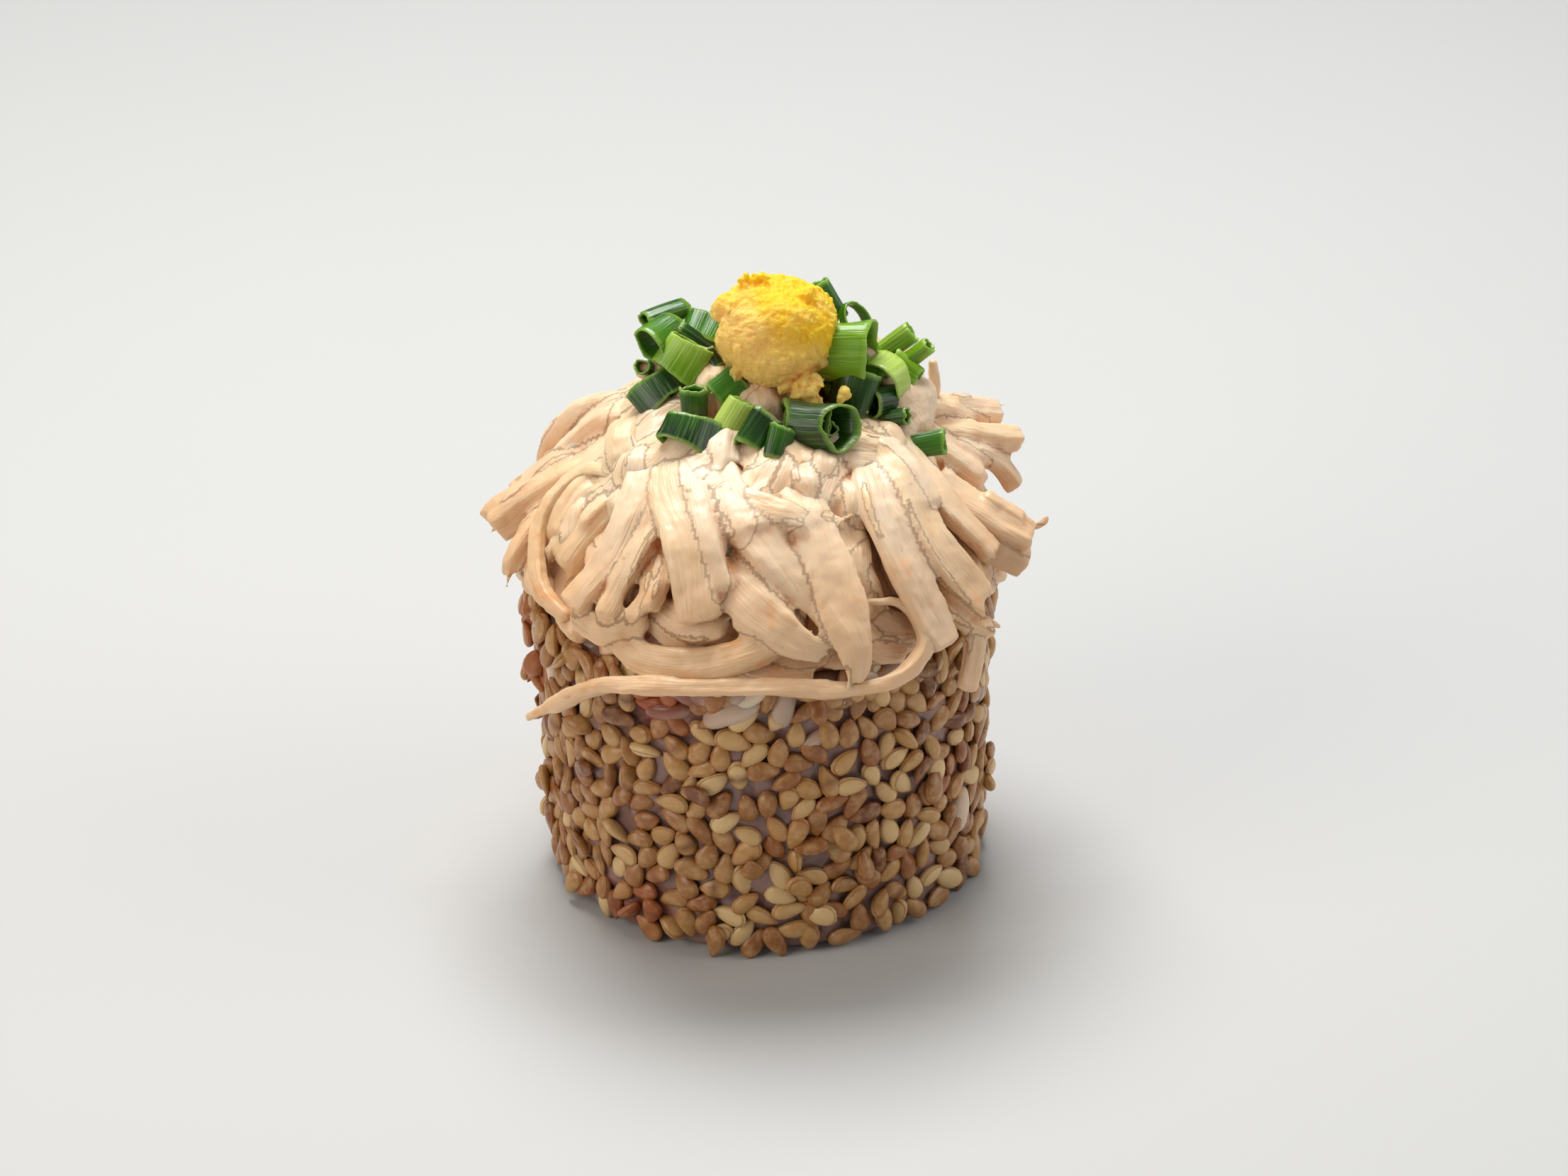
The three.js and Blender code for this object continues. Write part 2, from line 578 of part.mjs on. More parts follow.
/** A crumb: a small faceted ball. */
function crumb(place, radius, detail) {
  const geometry = new THREE.IcosahedronGeometry(radius, detail);
  geometry.translate(place.x, place.y, place.z);
  return toSolid(geometry);
}

/** A named mesh of one solid in its own colour. */
function part(name, solid, color, roughness) {
  const material = new THREE.MeshStandardMaterial({ color, roughness, metalness: 0 });
  const mesh = new THREE.Mesh(toGeometry(solid), material);
  mesh.name = name;
  return mesh;
}

const rings = [...RINGS, ...farRings(randomStream(SEED + 2))];
const yolkRoom = eggYolk(randomStream(SEED + 3), GAP);
const toppings = [
  mound(grown(BED)),
  ...LOBES.map(grown).map(mound),
  ...rings.map(ringRoom),
  ringRoom(STRAY),
  yolkRoom,
];

const sushiRoll = new THREE.Group();
sushiRoll.add(
  part('sesame_rice_roll', sesameRiceRoll(randomStream(SEED)), 0xcaa873, 0.5),
  part('shredded_chicken', shreddedChicken(randomStream(SEED + 1), toppings), 0xecd5bb, 0.35),
  part('chopped_scallion', choppedScallion(rings, yolkRoom), 0x3f7a2c, 0.35),
  part('scallion_stray', scallionRing(STRAY), 0x2f6a26, 0.35),
  part('egg_yolk_ball', eggYolk(randomStream(SEED + 3), 0), 0xf5c242, 0.75),
);

export default sushiRoll;
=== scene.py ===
"""The looks of a round slice of inside-out sushi roll with its toppings.

The slice stands upright. Toasted sesame seeds cover its rice, and on top lie shredded chicken in a
creamy sauce, cut rings of scallion and a crumbly ball of egg yolk. All sizes here are millimetres, in
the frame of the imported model: the origin is the middle of the foot, +Z is up, and the side that faces
-Y is the front. An azimuth is in degrees round the Z axis, 0 towards the front and 90 towards +X.
build_mesh() turns millimetres to Blender's metres.
"""

import logging
import math
from dataclasses import dataclass, field
from enum import Enum
from typing import Any, Optional

import bpy
import numpy as np
from mathutils import Matrix


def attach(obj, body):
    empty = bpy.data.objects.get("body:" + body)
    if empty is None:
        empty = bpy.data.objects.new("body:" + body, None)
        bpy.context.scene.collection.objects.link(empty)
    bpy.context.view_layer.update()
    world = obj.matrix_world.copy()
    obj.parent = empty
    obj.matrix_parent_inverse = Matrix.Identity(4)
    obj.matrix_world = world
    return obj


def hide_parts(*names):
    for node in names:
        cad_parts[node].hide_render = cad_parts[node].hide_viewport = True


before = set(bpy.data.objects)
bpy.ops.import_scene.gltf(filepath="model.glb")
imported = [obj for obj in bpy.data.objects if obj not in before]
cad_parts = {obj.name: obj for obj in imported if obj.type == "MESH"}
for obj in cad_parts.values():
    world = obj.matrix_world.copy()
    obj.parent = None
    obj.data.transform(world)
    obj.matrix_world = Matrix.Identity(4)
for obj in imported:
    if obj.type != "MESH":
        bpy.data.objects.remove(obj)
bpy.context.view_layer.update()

Array = np.ndarray
Place = tuple[float, float, float]
Way = list[Place]
Random = np.random.Generator

LOG = logging.getLogger("sushi_roll")
MM = 0.001
ROLL_HEIGHT = 26.0
RICE_FOOT_RADIUS = 17.9
RICE_TOP_RADIUS = 18.5
HEAP_HEIGHT = 43.2
HEAP_DROP = 20.2
HEAP_RADIUS = 23.5
HEAP_POWER = 2.6
HASH_KEYS = np.array([73856093, 19349663, 83492791])
HASH_MIX = 668265263
GOLDEN_SHARE = 0.618034
GOLDEN_ANGLE = 137.5
PICTURE_ELEVATION = 27.8


class End(Enum):
    """How a shred ends: its width there and the run it narrows over, as shares, and its rounding in mm."""

    SQUARE = (0.96, 0.1, 0.2)
    ROUND = (0.78, 0.14, 0.7)
    POINT = (0.16, 0.45, 0.3)
    TIP = (0.4, 0.14, 0.35)
    BLUNT = (0.42, 0.4, 0.5)


# ---- Numbers ----


def to_linear(code: str) -> tuple[float, float, float, float]:
    """Turns an sRGB hex colour to the linear colour that a shader socket takes.

    Args:
        code: The colour as six hex digits after a #.

    Returns:
        Red, green, blue and an alpha of one.
    """
    digits = code.lstrip("#")
    parts = [int(digits[i : i + 2], 16) / 255.0 for i in (0, 2, 4)]
    red, green, blue = (p / 12.92 if p <= 0.04045 else ((p + 0.055) / 1.055) ** 2.4 for p in parts)
    return red, green, blue, 1.0


def polar(azimuth: Any, radius: Any, height: Any) -> Array:
    """Points at azimuths (degrees), radii and heights; x = r sin a and y = -r cos a."""
    angle = np.radians(azimuth)
    return np.stack(np.broadcast_arrays(radius * np.sin(angle), -radius * np.cos(angle), height), -1)


def unit(vectors: Array) -> Array:
    """The vectors at length one."""
    return vectors / np.maximum(np.linalg.norm(vectors, axis=-1, keepdims=True), 1e-9)


def ease(share: Any) -> Any:
    """A share from 0 to 1 that starts and ends level: 3x^2 - 2x^3."""
    x = np.clip(share, 0.0, 1.0)
    return x * x * (3.0 - 2.0 * x)


def lattice_noise(points: Array, seed: int = 0) -> Array:
    """Smooth noise from -1 to 1 whose features are about one unit wide.

    Each corner of a point's unit cell has a hashed value, and the eight values are blended by weights
    that are the eased distances from the cell's walls.

    Args:
        points: Any number of 3-D points.
        seed: A different whole number gives different noise.

    Returns:
        One number for each point.
    """
    cell = np.floor(points).astype(np.int64)
    part = ease(points - cell)
    total = np.zeros(points.shape[:-1])
    for corner in np.ndindex(2, 2, 2):
        key = (cell + corner) @ HASH_KEYS + seed * 7919
        key = (key ^ (key >> 13)) * HASH_MIX
        key = (key ^ (key >> 15)) & 0xFFFFFFF
        value = (key % 65536) / 32767.5 - 1.0
        total += value * np.where(np.array(corner, bool), part, 1.0 - part).prod(-1)
    return total


def fractal_noise(points: Array, octaves: int, seed: int = 0) -> Array:
    """A sum of noises, each twice as fine and half as strong as the one before."""
    return sum(lattice_noise(points * 2.0**i, seed + i) / 2.0**i for i in range(octaves))


def heap_height(radius: Any) -> Any:
    """The height of the chicken heap's dome: its top less a drop that grows with a power of the radius."""
    return HEAP_HEIGHT - HEAP_DROP * (np.minimum(radius, HEAP_RADIUS) / HEAP_RADIUS) ** HEAP_POWER


def heap_normal(points: Array) -> Array:
    """The direction straight out of the heap's dome: out by the dome's slope at that radius, and up by one.

    Args:
        points: Any number of points.

    Returns:
        A unit vector for each point.
    """
    radius = np.clip(np.hypot(points[..., 0], points[..., 1]), 1e-6, HEAP_RADIUS)
    slope = HEAP_DROP * HEAP_POWER / HEAP_RADIUS * (radius / HEAP_RADIUS) ** (HEAP_POWER - 1.0)
    out = unit(points[..., :2] + 1e-9) * slope[..., None]
    return unit(np.concatenate([out, np.ones_like(out[..., :1])], -1))


def rice_radius(height: Any) -> Any:
    """The rice's radius at a height."""
    return RICE_FOOT_RADIUS + (RICE_TOP_RADIUS - RICE_FOOT_RADIUS) * height / ROLL_HEIGHT


def smooth_way(points: Array, step: float) -> Array:
    """Carries a smooth line through way points.

    Between two way points the line is a cubic whose slopes come from the neighbouring points, with
    knots spaced by the square root of the distances. It is then cut into equal lengths.

    Args:
        points: The way points, at least two.
        step: The length of one cut.

    Returns:
        The points of the line.
    """
    knots = np.concatenate([[0.0], np.cumsum(np.linalg.norm(np.diff(points, axis=0), axis=1) ** 0.5)])
    rates = np.diff(points, axis=0) / np.diff(knots)[:, None]
    gaps = np.diff(knots)[:, None]
    slopes = np.empty_like(points)
    slopes[0], slopes[-1] = rates[0], rates[-1]
    slopes[1:-1] = (rates[:-1] * gaps[1:] + rates[1:] * gaps[:-1]) / (gaps[1:] + gaps[:-1])
    t = np.linspace(0.0, 1.0, 24, endpoint=False)[None, :, None]
    start, stop = points[:-1, None], points[1:, None]
    line = (
        (1 + 2 * t) * (1 - t) ** 2 * start
        + t * (1 - t) ** 2 * gaps[:, None] * slopes[:-1, None]
        + t**2 * (3 - 2 * t) * stop
        - t**2 * (1 - t) * gaps[:, None] * slopes[1:, None]
    ).reshape(-1, 3)
    line = np.concatenate([line, points[-1:]])
    length = np.concatenate([[0.0], np.cumsum(np.linalg.norm(np.diff(line, axis=0), axis=1))])
    cuts = np.linspace(0.0, length[-1], max(int(length[-1] / step), 4) + 1)
    return np.stack([np.interp(cuts, length, line[:, i]) for i in range(3)], -1)


# ---- Surfaces ----


@dataclass
class Surface:
    """Points, the faces between them, and named numbers at the points."""

    points: Array
    quads: Array
    tris: Array = field(default_factory=lambda: np.zeros((0, 3), np.int64))
    marks: dict[str, Array] = field(default_factory=dict)

    def normals(self) -> Array:
        """The outward direction at each point: the sum of the normals of the faces round it, at length one.

        Returns:
            A unit vector for each point.
        """
        p = self.points
        q, t = self.quads, self.tris
        quad_normals = np.cross(p[q[:, 2]] - p[q[:, 0]], p[q[:, 3]] - p[q[:, 1]])
        tri_normals = np.cross(p[t[:, 1]] - p[t[:, 0]], p[t[:, 2]] - p[t[:, 0]])
        corners = np.concatenate([q.ravel(), t.ravel()])
        values = np.concatenate([np.repeat(quad_normals, 4, 0), np.repeat(tri_normals, 3, 0)])
        return unit(np.stack([np.bincount(corners, values[:, i], len(p)) for i in range(3)], -1))

    def edges(self) -> Array:
        """Lists each edge once.

        Returns:
            Pairs of point numbers.
        """
        q, t = self.quads, self.tris
        sides = [q[:, [i, (i + 1) % 4]] for i in range(4)] + [t[:, [i, (i + 1) % 3]] for i in range(3)]
        return np.unique(np.sort(np.concatenate(sides), 1), axis=0)

    def relaxed(self, values: Array, rounds: int, weight: float = 0.5) -> Array:
        """Moves each point's value towards the mean of its neighbours' a number of times.

        Args:
            values: One or more numbers for each point.
            rounds: How many times.
            weight: The share of the way that a value moves each time.

        Returns:
            The new values, in the shape of the old ones.
        """
        edges = self.edges()
        one, two = edges[:, 0], edges[:, 1]
        count = len(self.points)
        degree = np.maximum(np.bincount(one, None, count) + np.bincount(two, None, count), 1)
        columns = values.reshape(count, -1).astype(float).copy()
        for _ in range(rounds):
            for i in range(columns.shape[1]):
                column = columns[:, i]
                total = np.bincount(one, column[two], count) + np.bincount(two, column[one], count)
                columns[:, i] += weight * (total / degree - column)
        return columns.reshape(values.shape)


def join(parts: list[Surface]) -> Surface:
    """Puts several surfaces into one.

    Args:
        parts: The surfaces.

    Returns:
        One surface, with the marks that all of them have.
    """
    starts = np.cumsum([0] + [len(p.points) for p in parts[:-1]])
    names = set.intersection(*(set(p.marks) for p in parts))
    return Surface(
        np.concatenate([p.points for p in parts]),
        np.concatenate([p.quads + s for p, s in zip(parts, starts)]),
        np.concatenate([p.tris + s for p, s in zip(parts, starts)]),
        {name: np.concatenate([p.marks[name] for p in parts]) for name in sorted(names)},
    )


def grid_quads(rows: int, columns: int, wrap_rows: bool = False) -> Array:
    """The faces of a grid of points that closes round its columns, row by row.

    Args:
        rows: How many rows the grid has.
        columns: How many columns it has.
        wrap_rows: Whether its last row joins its first.

    Returns:
        Four point numbers for each face.
    """
    row, column = np.meshgrid(np.arange(rows if wrap_rows else rows - 1), np.arange(columns), indexing="ij")
    below, right = (row + 1) % rows, (column + 1) % columns
    upper, lower = row * columns, below * columns
    return np.stack([upper + column, upper + right, lower + right, lower + column], -1).reshape(-1, 4)


def closed_grids(grids: Array) -> Surface:
    """Closes one or many grids of rows round an axis with a point at each end.

    Args:
        grids: Points of the shape (pieces, rows, columns, 3) whose first and last rows are the poles,
            so that all their columns are alike.

    Returns:
        One surface of all the pieces, whose points are, piece by piece, the first pole, the rows
        between and the last pole.
    """
    pieces, rows, columns = grids.shape[:3]
    body = grids[:, 1:-1].reshape(pieces, -1, 3)
    points = np.concatenate([grids[:, :1, 0], body, grids[:, -1:, 0]], 1)
    size = points.shape[1]
    around = np.arange(columns)
    nearest = (around + 1) % columns
    first = np.stack([np.zeros(columns, int), nearest + 1, around + 1], -1)
    base = 1 + (rows - 3) * columns
    last = np.stack([np.full(columns, size - 1), base + around, base + nearest], -1)
    quads = grid_quads(rows - 2, columns) + 1
    starts = (np.arange(pieces) * size)[:, None, None]
    tris = np.concatenate([first, last])
    return Surface(points.reshape(-1, 3), (quads + starts).reshape(-1, 4), (tris + starts).reshape(-1, 3))


def ball_directions(rows: int, columns: int) -> Array:
    """Directions on a ball: angles from pole to pole by rows, and round the axis by columns.

    Args:
        rows: How many rows, with a pole at each end.
        columns: How many columns.

    Returns:
        Unit vectors of the shape (rows, columns, 3).
    """
    polar_angle = np.linspace(0.0, math.pi, rows)[:, None]
    turn = -np.linspace(0.0, 2 * math.pi, columns, endpoint=False)[None, :]
    ring = np.sin(polar_angle)
    ring[[0, -1]] = 0.0
    return np.stack(np.broadcast_arrays(ring * np.cos(turn), ring * np.sin(turn), np.cos(polar_angle)), -1)


def build_mesh(surface: Surface, name: str) -> bpy.types.Object:
    """Makes a Blender object of a surface, smooth, in metres, with its marks as attributes.

    Args:
        surface: The points, faces and marks, in millimetres.
        name: The object's name.

    Returns:
        The object, linked to the scene.
    """
    mesh = bpy.data.meshes.new(name)
    corners = np.concatenate([surface.quads.ravel(), surface.tris.ravel()])
    starts = np.concatenate(
        [np.arange(len(surface.quads)) * 4, len(surface.quads) * 4 + np.arange(len(surface.tris)) * 3]
    )
    mesh.vertices.add(len(surface.points))
    mesh.vertices.foreach_set("co", (surface.points * MM).ravel())
    mesh.loops.add(len(corners))
    mesh.loops.foreach_set("vertex_index", corners.astype(np.int32))
    mesh.polygons.add(len(starts))
    mesh.polygons.foreach_set("loop_start", starts.astype(np.int32))
    mesh.update(calc_edges=True)
    mesh.validate()
    for mark, values in surface.marks.items():
        kind = "FLOAT" if values.ndim == 1 else "FLOAT_VECTOR"
        layer = mesh.attributes.new(mark, kind, "POINT")
        layer.data.foreach_set("value" if values.ndim == 1 else "vector", values.astype(np.float32).ravel())
    mesh.shade_smooth()
    made = bpy.data.objects.new(name, mesh)
    bpy.context.scene.collection.objects.link(made)
    return made


def voxel_skin(surface: Surface, voxel: float) -> Surface:
    """Joins overlapping closed surfaces under one skin of even quads.

    Args:
        surface: The closed surfaces.
        voxel: The size of a quad.

    Returns:
        The skin, without marks.
    """
    rough = build_mesh(Surface(surface.points, surface.quads, surface.tris), "rough")
    modifier = rough.modifiers.new("skin", "REMESH")
    modifier.mode = "VOXEL"
    modifier.voxel_size = voxel * MM
    modifier.adaptivity = 0.0
    shape = rough.evaluated_get(bpy.context.evaluated_depsgraph_get()).to_mesh()
    points = np.empty(len(shape.vertices) * 3, np.float32)
    shape.vertices.foreach_get("co", points)
    corners = np.empty(len(shape.loops), np.int32)
    shape.loops.foreach_get("vertex_index", corners)
    totals = np.empty(len(shape.polygons), np.int32)
    shape.polygons.foreach_get("loop_total", totals)
    starts = np.cumsum(totals) - totals
    quads = corners[starts[totals == 4][:, None] + np.arange(4)].astype(np.int64)
    tris = corners[starts[totals == 3][:, None] + np.arange(3)].astype(np.int64)
    data = rough.data
    bpy.data.objects.remove(rough)
    bpy.data.meshes.remove(data)
    return Surface(points.reshape(-1, 3).astype(float) / MM, quads, tris)


# ---- Materials ----


@dataclass
class Shader:
    """A material's node tree while it is being put together."""

    name: str

    def __post_init__(self) -> None:
        """Starts the material with one principled shader."""
        self.material = bpy.data.materials.new(self.name)
        self.material.use_nodes = True
        self.tree = self.material.node_tree
        self.surface = self.tree.nodes["Principled BSDF"]

    def add(
        self, kind: str, settings: Optional[dict[str, Any]] = None, links: Optional[dict[Any, Any]] = None
    ) -> bpy.types.Node:
        """Adds one node.

        Args:
            kind: The node's type.
            settings: Properties of the node, or values of its inputs, by name. A whole number as the
                name is the place of an input.
            links: The outputs that feed its inputs, by input name or place.

        Returns:
            The node.
        """
        node = self.tree.nodes.new(kind)
        for name, value in (settings or {}).items():
            if isinstance(name, int) or name in node.inputs:
                node.inputs[name].default_value = value
            else:
                setattr(node, name, value)
        for name, output in (links or {}).items():
            self.tree.links.new(output, node.inputs[name])
        return node

    def mark(self, name: str, output: str = "Fac") -> Any:
        """What the attribute of that name holds."""
        return self.add("ShaderNodeAttribute", {"attribute_name": name}).outputs[output]

    def ramp(self, stops: list[tuple[float, str]], factor: Any) -> Any:
        """A colour read off a ramp.

        Args:
            stops: Places from 0 to 1, each with its sRGB colour.
            factor: The output that says where to read.

        Returns:
            The colour's output.
        """
        node = self.add("ShaderNodeValToRGB", None, {"Fac": factor})
        elements = node.color_ramp.elements
        while len(elements) < len(stops):
            elements.new(0.5)
        for element, (position, code) in zip(elements, stops):
            element.position = position
            element.color = to_linear(code)
        return node.outputs["Color"]

    def blend(self, factor: Any, one: Any, two: Any) -> Any:
        """Two colours blended.

        Args:
            factor: How much of the second shows, as a number or an output.
            one: The first colour, as an output or a hex code.
            two: The second, likewise.

        Returns:
            The colour's output.
        """
        node = self.add("ShaderNodeMix", {"data_type": "RGBA", "clamp_result": True})
        for place, value in ((0, factor), (6, one), (7, two)):
            if isinstance(value, str):
                node.inputs[place].default_value = to_linear(value)
            elif isinstance(value, float):
                node.inputs[place].default_value = value
            else:
                self.tree.links.new(value, node.inputs[place])
        return node.outputs[2]

    def math(self, operation: str, *values: Any) -> Any:
        """A sum on one to three values, held between 0 and 1.

        Args:
            operation: The name of the sum.
            values: Numbers or outputs.

        Returns:
            The result's output.
        """
        node = self.add("ShaderNodeMath", {"operation": operation, "use_clamp": True})
        for place, value in enumerate(values):
            if isinstance(value, (int, float)):
                node.inputs[place].default_value = value
            else:
                self.tree.links.new(value, node.inputs[place])
        return node.outputs[0]

    def times(self, one: Any, two: Any) -> Any:
        """The product of two values, held between 0 and 1."""
        return self.math("MULTIPLY", one, two)

    def over(self, value: Any, start: float, gain: float) -> Any:
        """How far a value is over a start, times a gain, held between 0 and 1."""
        return self.times(self.math("SUBTRACT", value, start), gain)

    def noise(self, vector: Any, size_mm: float, detail: float = 2.0, roughness: float = 0.5) -> Any:
        """A noise with features of a size, where the vector is in millimetres."""
        settings = {"Scale": 1.0 / size_mm, "Detail": detail, "Roughness": roughness}
        return self.add("ShaderNodeTexNoise", settings, {"Vector": vector}).outputs["Fac"]

    def place(self) -> Any:
        """The place on the object, in millimetres."""
        return self.stretched(self.add("ShaderNodeTexCoord").outputs["Object"], (1.0 / MM,) * 3)

    def stretched(self, vector: Any, scale: Place) -> Any:
        """A vector multiplied along each axis."""
        return self.add("ShaderNodeMapping", {"Scale": scale}, {"Vector": vector}).outputs["Vector"]

    def bump(self, height: Any, depth_mm: float, strength: float = 1.0, under: Any = None) -> Any:
        """A bump of a height from 0 to 1 that stands for a real depth in millimetres."""
        links = {"Height": height} | ({"Normal": under} if under is not None else {})
        return self.add("ShaderNodeBump", {"Distance": depth_mm * MM, "Strength": strength}, links).outputs[0]

    def finish(self, settings: dict[str, Any], links: dict[str, Any]) -> bpy.types.Material:
        """Sets the principled shader's sockets. One stays unlinked where its value is the same all over.

        Args:
            settings: Values by socket name.
            links: Outputs by socket name.

        Returns:
            The finished material.
        """
        for name, value in settings.items():
            self.surface.inputs[name].default_value = value
        for name, output in links.items():
            self.tree.links.new(output, self.surface.inputs[name])
        return self.material


@dataclass(frozen=True)
class ToastedSesame:
    """Hulled sesame, dry toasted: a thin satin skin, cream to tan, browner on the roasted ones."""

    pale: str = "#DAB67E"
    cream: str = "#B98648"
    tan: str = "#985E2A"
    brown: str = "#96541D"
    roast: str = "#733A12"
    tip: str = "#24130A"
    sauce: str = "#A8480F"

    def material(self) -> bpy.types.Material:
        """Builds the material from each seed's own tint, roast, stain and skin coordinates.

        The skin coordinates run from -1 to 1 along the seed, across it and through it. A darker line
        follows the seam round the seed, and its pointed tip may be dark.

        Returns:
            The material.
        """
        s = Shader("toasted_sesame_satin_hull")
        tint = s.mark("tint")
        parts = s.add("ShaderNodeSeparateXYZ", None, {0: s.mark("skin", "Vector")}).outputs
        stops = [(0.0, self.pale), (0.3, self.cream), (0.65, self.tan), (0.9, self.brown), (1.0, self.roast)]
        colour = s.ramp(stops, tint)
        place = s.place()
        mottle = s.noise(place, 0.91, 3.0, 0.6)
        colour = s.blend(s.over(mottle, 0.42, 1.6), colour, self.pale)
        colour = s.blend(s.over(parts["X"], 0.35, 0.7), colour, self.brown)
        from_seam = s.add("ShaderNodeMath", {"operation": "SUBTRACT", 1: 0.42}, {0: parts["Z"]}).outputs[0]
        seam = s.math("SUBTRACT", 1.0, s.times(s.math("ABSOLUTE", from_seam), 7.0))
        colour = s.blend(s.times(seam, s.mark("vein")), colour, self.brown)
        reach = s.times(s.math("ABSOLUTE", parts["X"]), 2.0)
        burn = s.times(s.math("SUBTRACT", 1.0, reach), s.times(mottle, 1.7))
        colour = s.blend(s.times(s.mark("burn"), burn), colour, self.roast)
        tip = s.over(parts["X"], 0.84, 9.0)
        colour = s.blend(s.times(tip, s.mark("dark_tip")), colour, self.tip)
        colour = s.blend(s.mark("stain"), colour, self.sauce)
        height = s.noise(place, 0.625, 3.0, 0.6)
        normal = s.bump(s.times(seam, 0.8), 0.05, 0.5, s.bump(height, 0.04, 0.6))
        settings = {
            "Roughness": 0.36, "IOR": 1.47, "Coat Weight": 0.25, "Coat Roughness": 0.22,
            "Subsurface Weight": 0.1, "Subsurface Radius": (1.0, 0.55, 0.25), "Subsurface Scale": 0.5 * MM,
        }
        return s.finish(settings, {"Base Color": colour, "Normal": normal})


@dataclass(frozen=True)
class StickyRice:
    """Cooked short-grain rice: a soft, wet, translucent white that takes on the pink of its sauce."""

    # painted shade: the first two colours are the rice darkened for the shade between the seeds, and the
    # third is its colour where it lies open to the light
    grain: str = "#AE8B80"
    deep: str = "#6A473E"
    lit_rice_colour: str = "#F0D5B8"
    sauce: str = "#842B04"

    def material(self) -> bpy.types.Material:
        """Builds the material; the stain mark carries the sauce. The rice is darkened all over as painted
        shade between the seeds, and the other mark lifts it to its lit colour, a painted light, towards
        the top rim and on the grains that show.

        Returns:
            The material.
        """
        s = Shader("sticky_rice_wet_translucent")
        place = s.place()
        cloud = s.noise(place, 2.38, 3.0, 0.6)
        # painted shade: noise between two darkened rice colours
        colour = s.blend(cloud, self.deep, self.grain)
        # painted light: the mark lifts the rice to its lit colour
        colour = s.blend(s.mark("bright"), colour, self.lit_rice_colour)
        colour = s.blend(s.mark("stain"), colour, self.sauce)
        settings = {
            "Roughness": 0.3, "IOR": 1.38, "Coat Weight": 0.35, "Coat Roughness": 0.12,
            "Subsurface Weight": 0.35, "Subsurface Radius": (1.0, 0.5, 0.4), "Subsurface Scale": 0.7 * MM,
        }
        return s.finish(settings, {"Base Color": colour, "Normal": s.bump(s.noise(place, 1.11), 0.08, 0.5)})


@dataclass(frozen=True)
class PoachedChicken:
    """Poached breast meat pulled into shreds and dressed: cream fibres under a thin, wet, peachy sauce."""

    cream: str = "#F7DEC0"
    peach: str = "#EFC296"
    yolky: str = "#F0C88A"
    # painted shade: the next three colours darken the foot of the heap, its creases and the pockets below its
    # dome, the last two with some sauce there
    lower: str = "#DBA974"
    crease: str = "#CF7A34"
    deep: str = "#A9551F"
    stain: str = "#E8923C"
    streaks: str = "#E6B074"
    speck: str = "#A06A34"

    def material(self) -> bpy.types.Material:
        """Builds the material; the grain mark runs along each shred, in millimetres.

        Fibres are one feature each 5 mm along and 0.4 mm across, with finer ones of 0.17 mm on them.
        The creases and the pockets below the dome are darker and more orange, a painted shade with some
        sauce gathered there, and the meat low on the heap gets a painted shade too.

        Returns:
            The material.
        """
        s = Shader("poached_chicken_creamy_sauce")
        grain = s.mark("grain", "Vector")
        place = s.place()
        fibre = s.noise(s.stretched(grain, (0.2, 2.4, 2.4)), 1.0, 3.0, 0.55)
        fine = s.noise(s.stretched(grain, (0.6, 6.0, 6.0)), 1.0, 2.0, 0.5)
        patch = s.noise(place, 4.35, 3.0, 0.6)
        colour = s.blend(s.over(patch, 0.42, 1.7), self.cream, self.peach)
        streak = s.over(fibre, 0.5, 2.6)
        colour = s.blend(s.times(streak, 0.48), colour, self.streaks)
        colour = s.blend(s.times(s.mark("tone"), 0.45), colour, self.yolky)
        # painted shade: darker and more orange towards the foot of the heap
        low = s.mark("low")
        colour = s.blend(low, colour, self.lower)
        spots = s.over(s.noise(place, 2.5), 0.6, 5.0)
        colour = s.blend(s.times(spots, s.math("ADD", 0.12, low)), colour, self.stain)
        # painted shade in the creases, with some sauce gathered there
        colour = s.blend(s.times(s.mark("crease"), 0.85), colour, self.crease)
        # painted shade in the pockets below the dome, with some sauce there
        colour = s.blend(s.times(s.mark("deep"), 0.7), colour, self.deep)
        speck = s.over(s.noise(place, 1.11, 0.0), 0.8, 14.0)
        colour = s.blend(s.times(speck, 0.45), colour, self.speck)
        roughness = {"To Min": 0.27, "To Max": 0.5}
        shine = s.add("ShaderNodeMapRange", roughness, {"Value": s.noise(place, 1.92, 3.0)}).outputs[0]
        normal = s.bump(fibre, 0.2, 0.75)
        normal = s.bump(fine, 0.08, 0.65, normal)
        normal = s.bump(s.noise(place, 1.43, 3.0, 0.6), 0.12, 0.4, normal)
        settings = {
            "IOR": 1.42, "Coat Weight": 0.2, "Coat Roughness": 0.18,
            "Subsurface Weight": 0.35, "Subsurface Radius": (1.0, 0.5, 0.25), "Subsurface Scale": 1.2 * MM,
        }
        return s.finish(settings, {"Base Color": colour, "Roughness": shine, "Normal": normal})


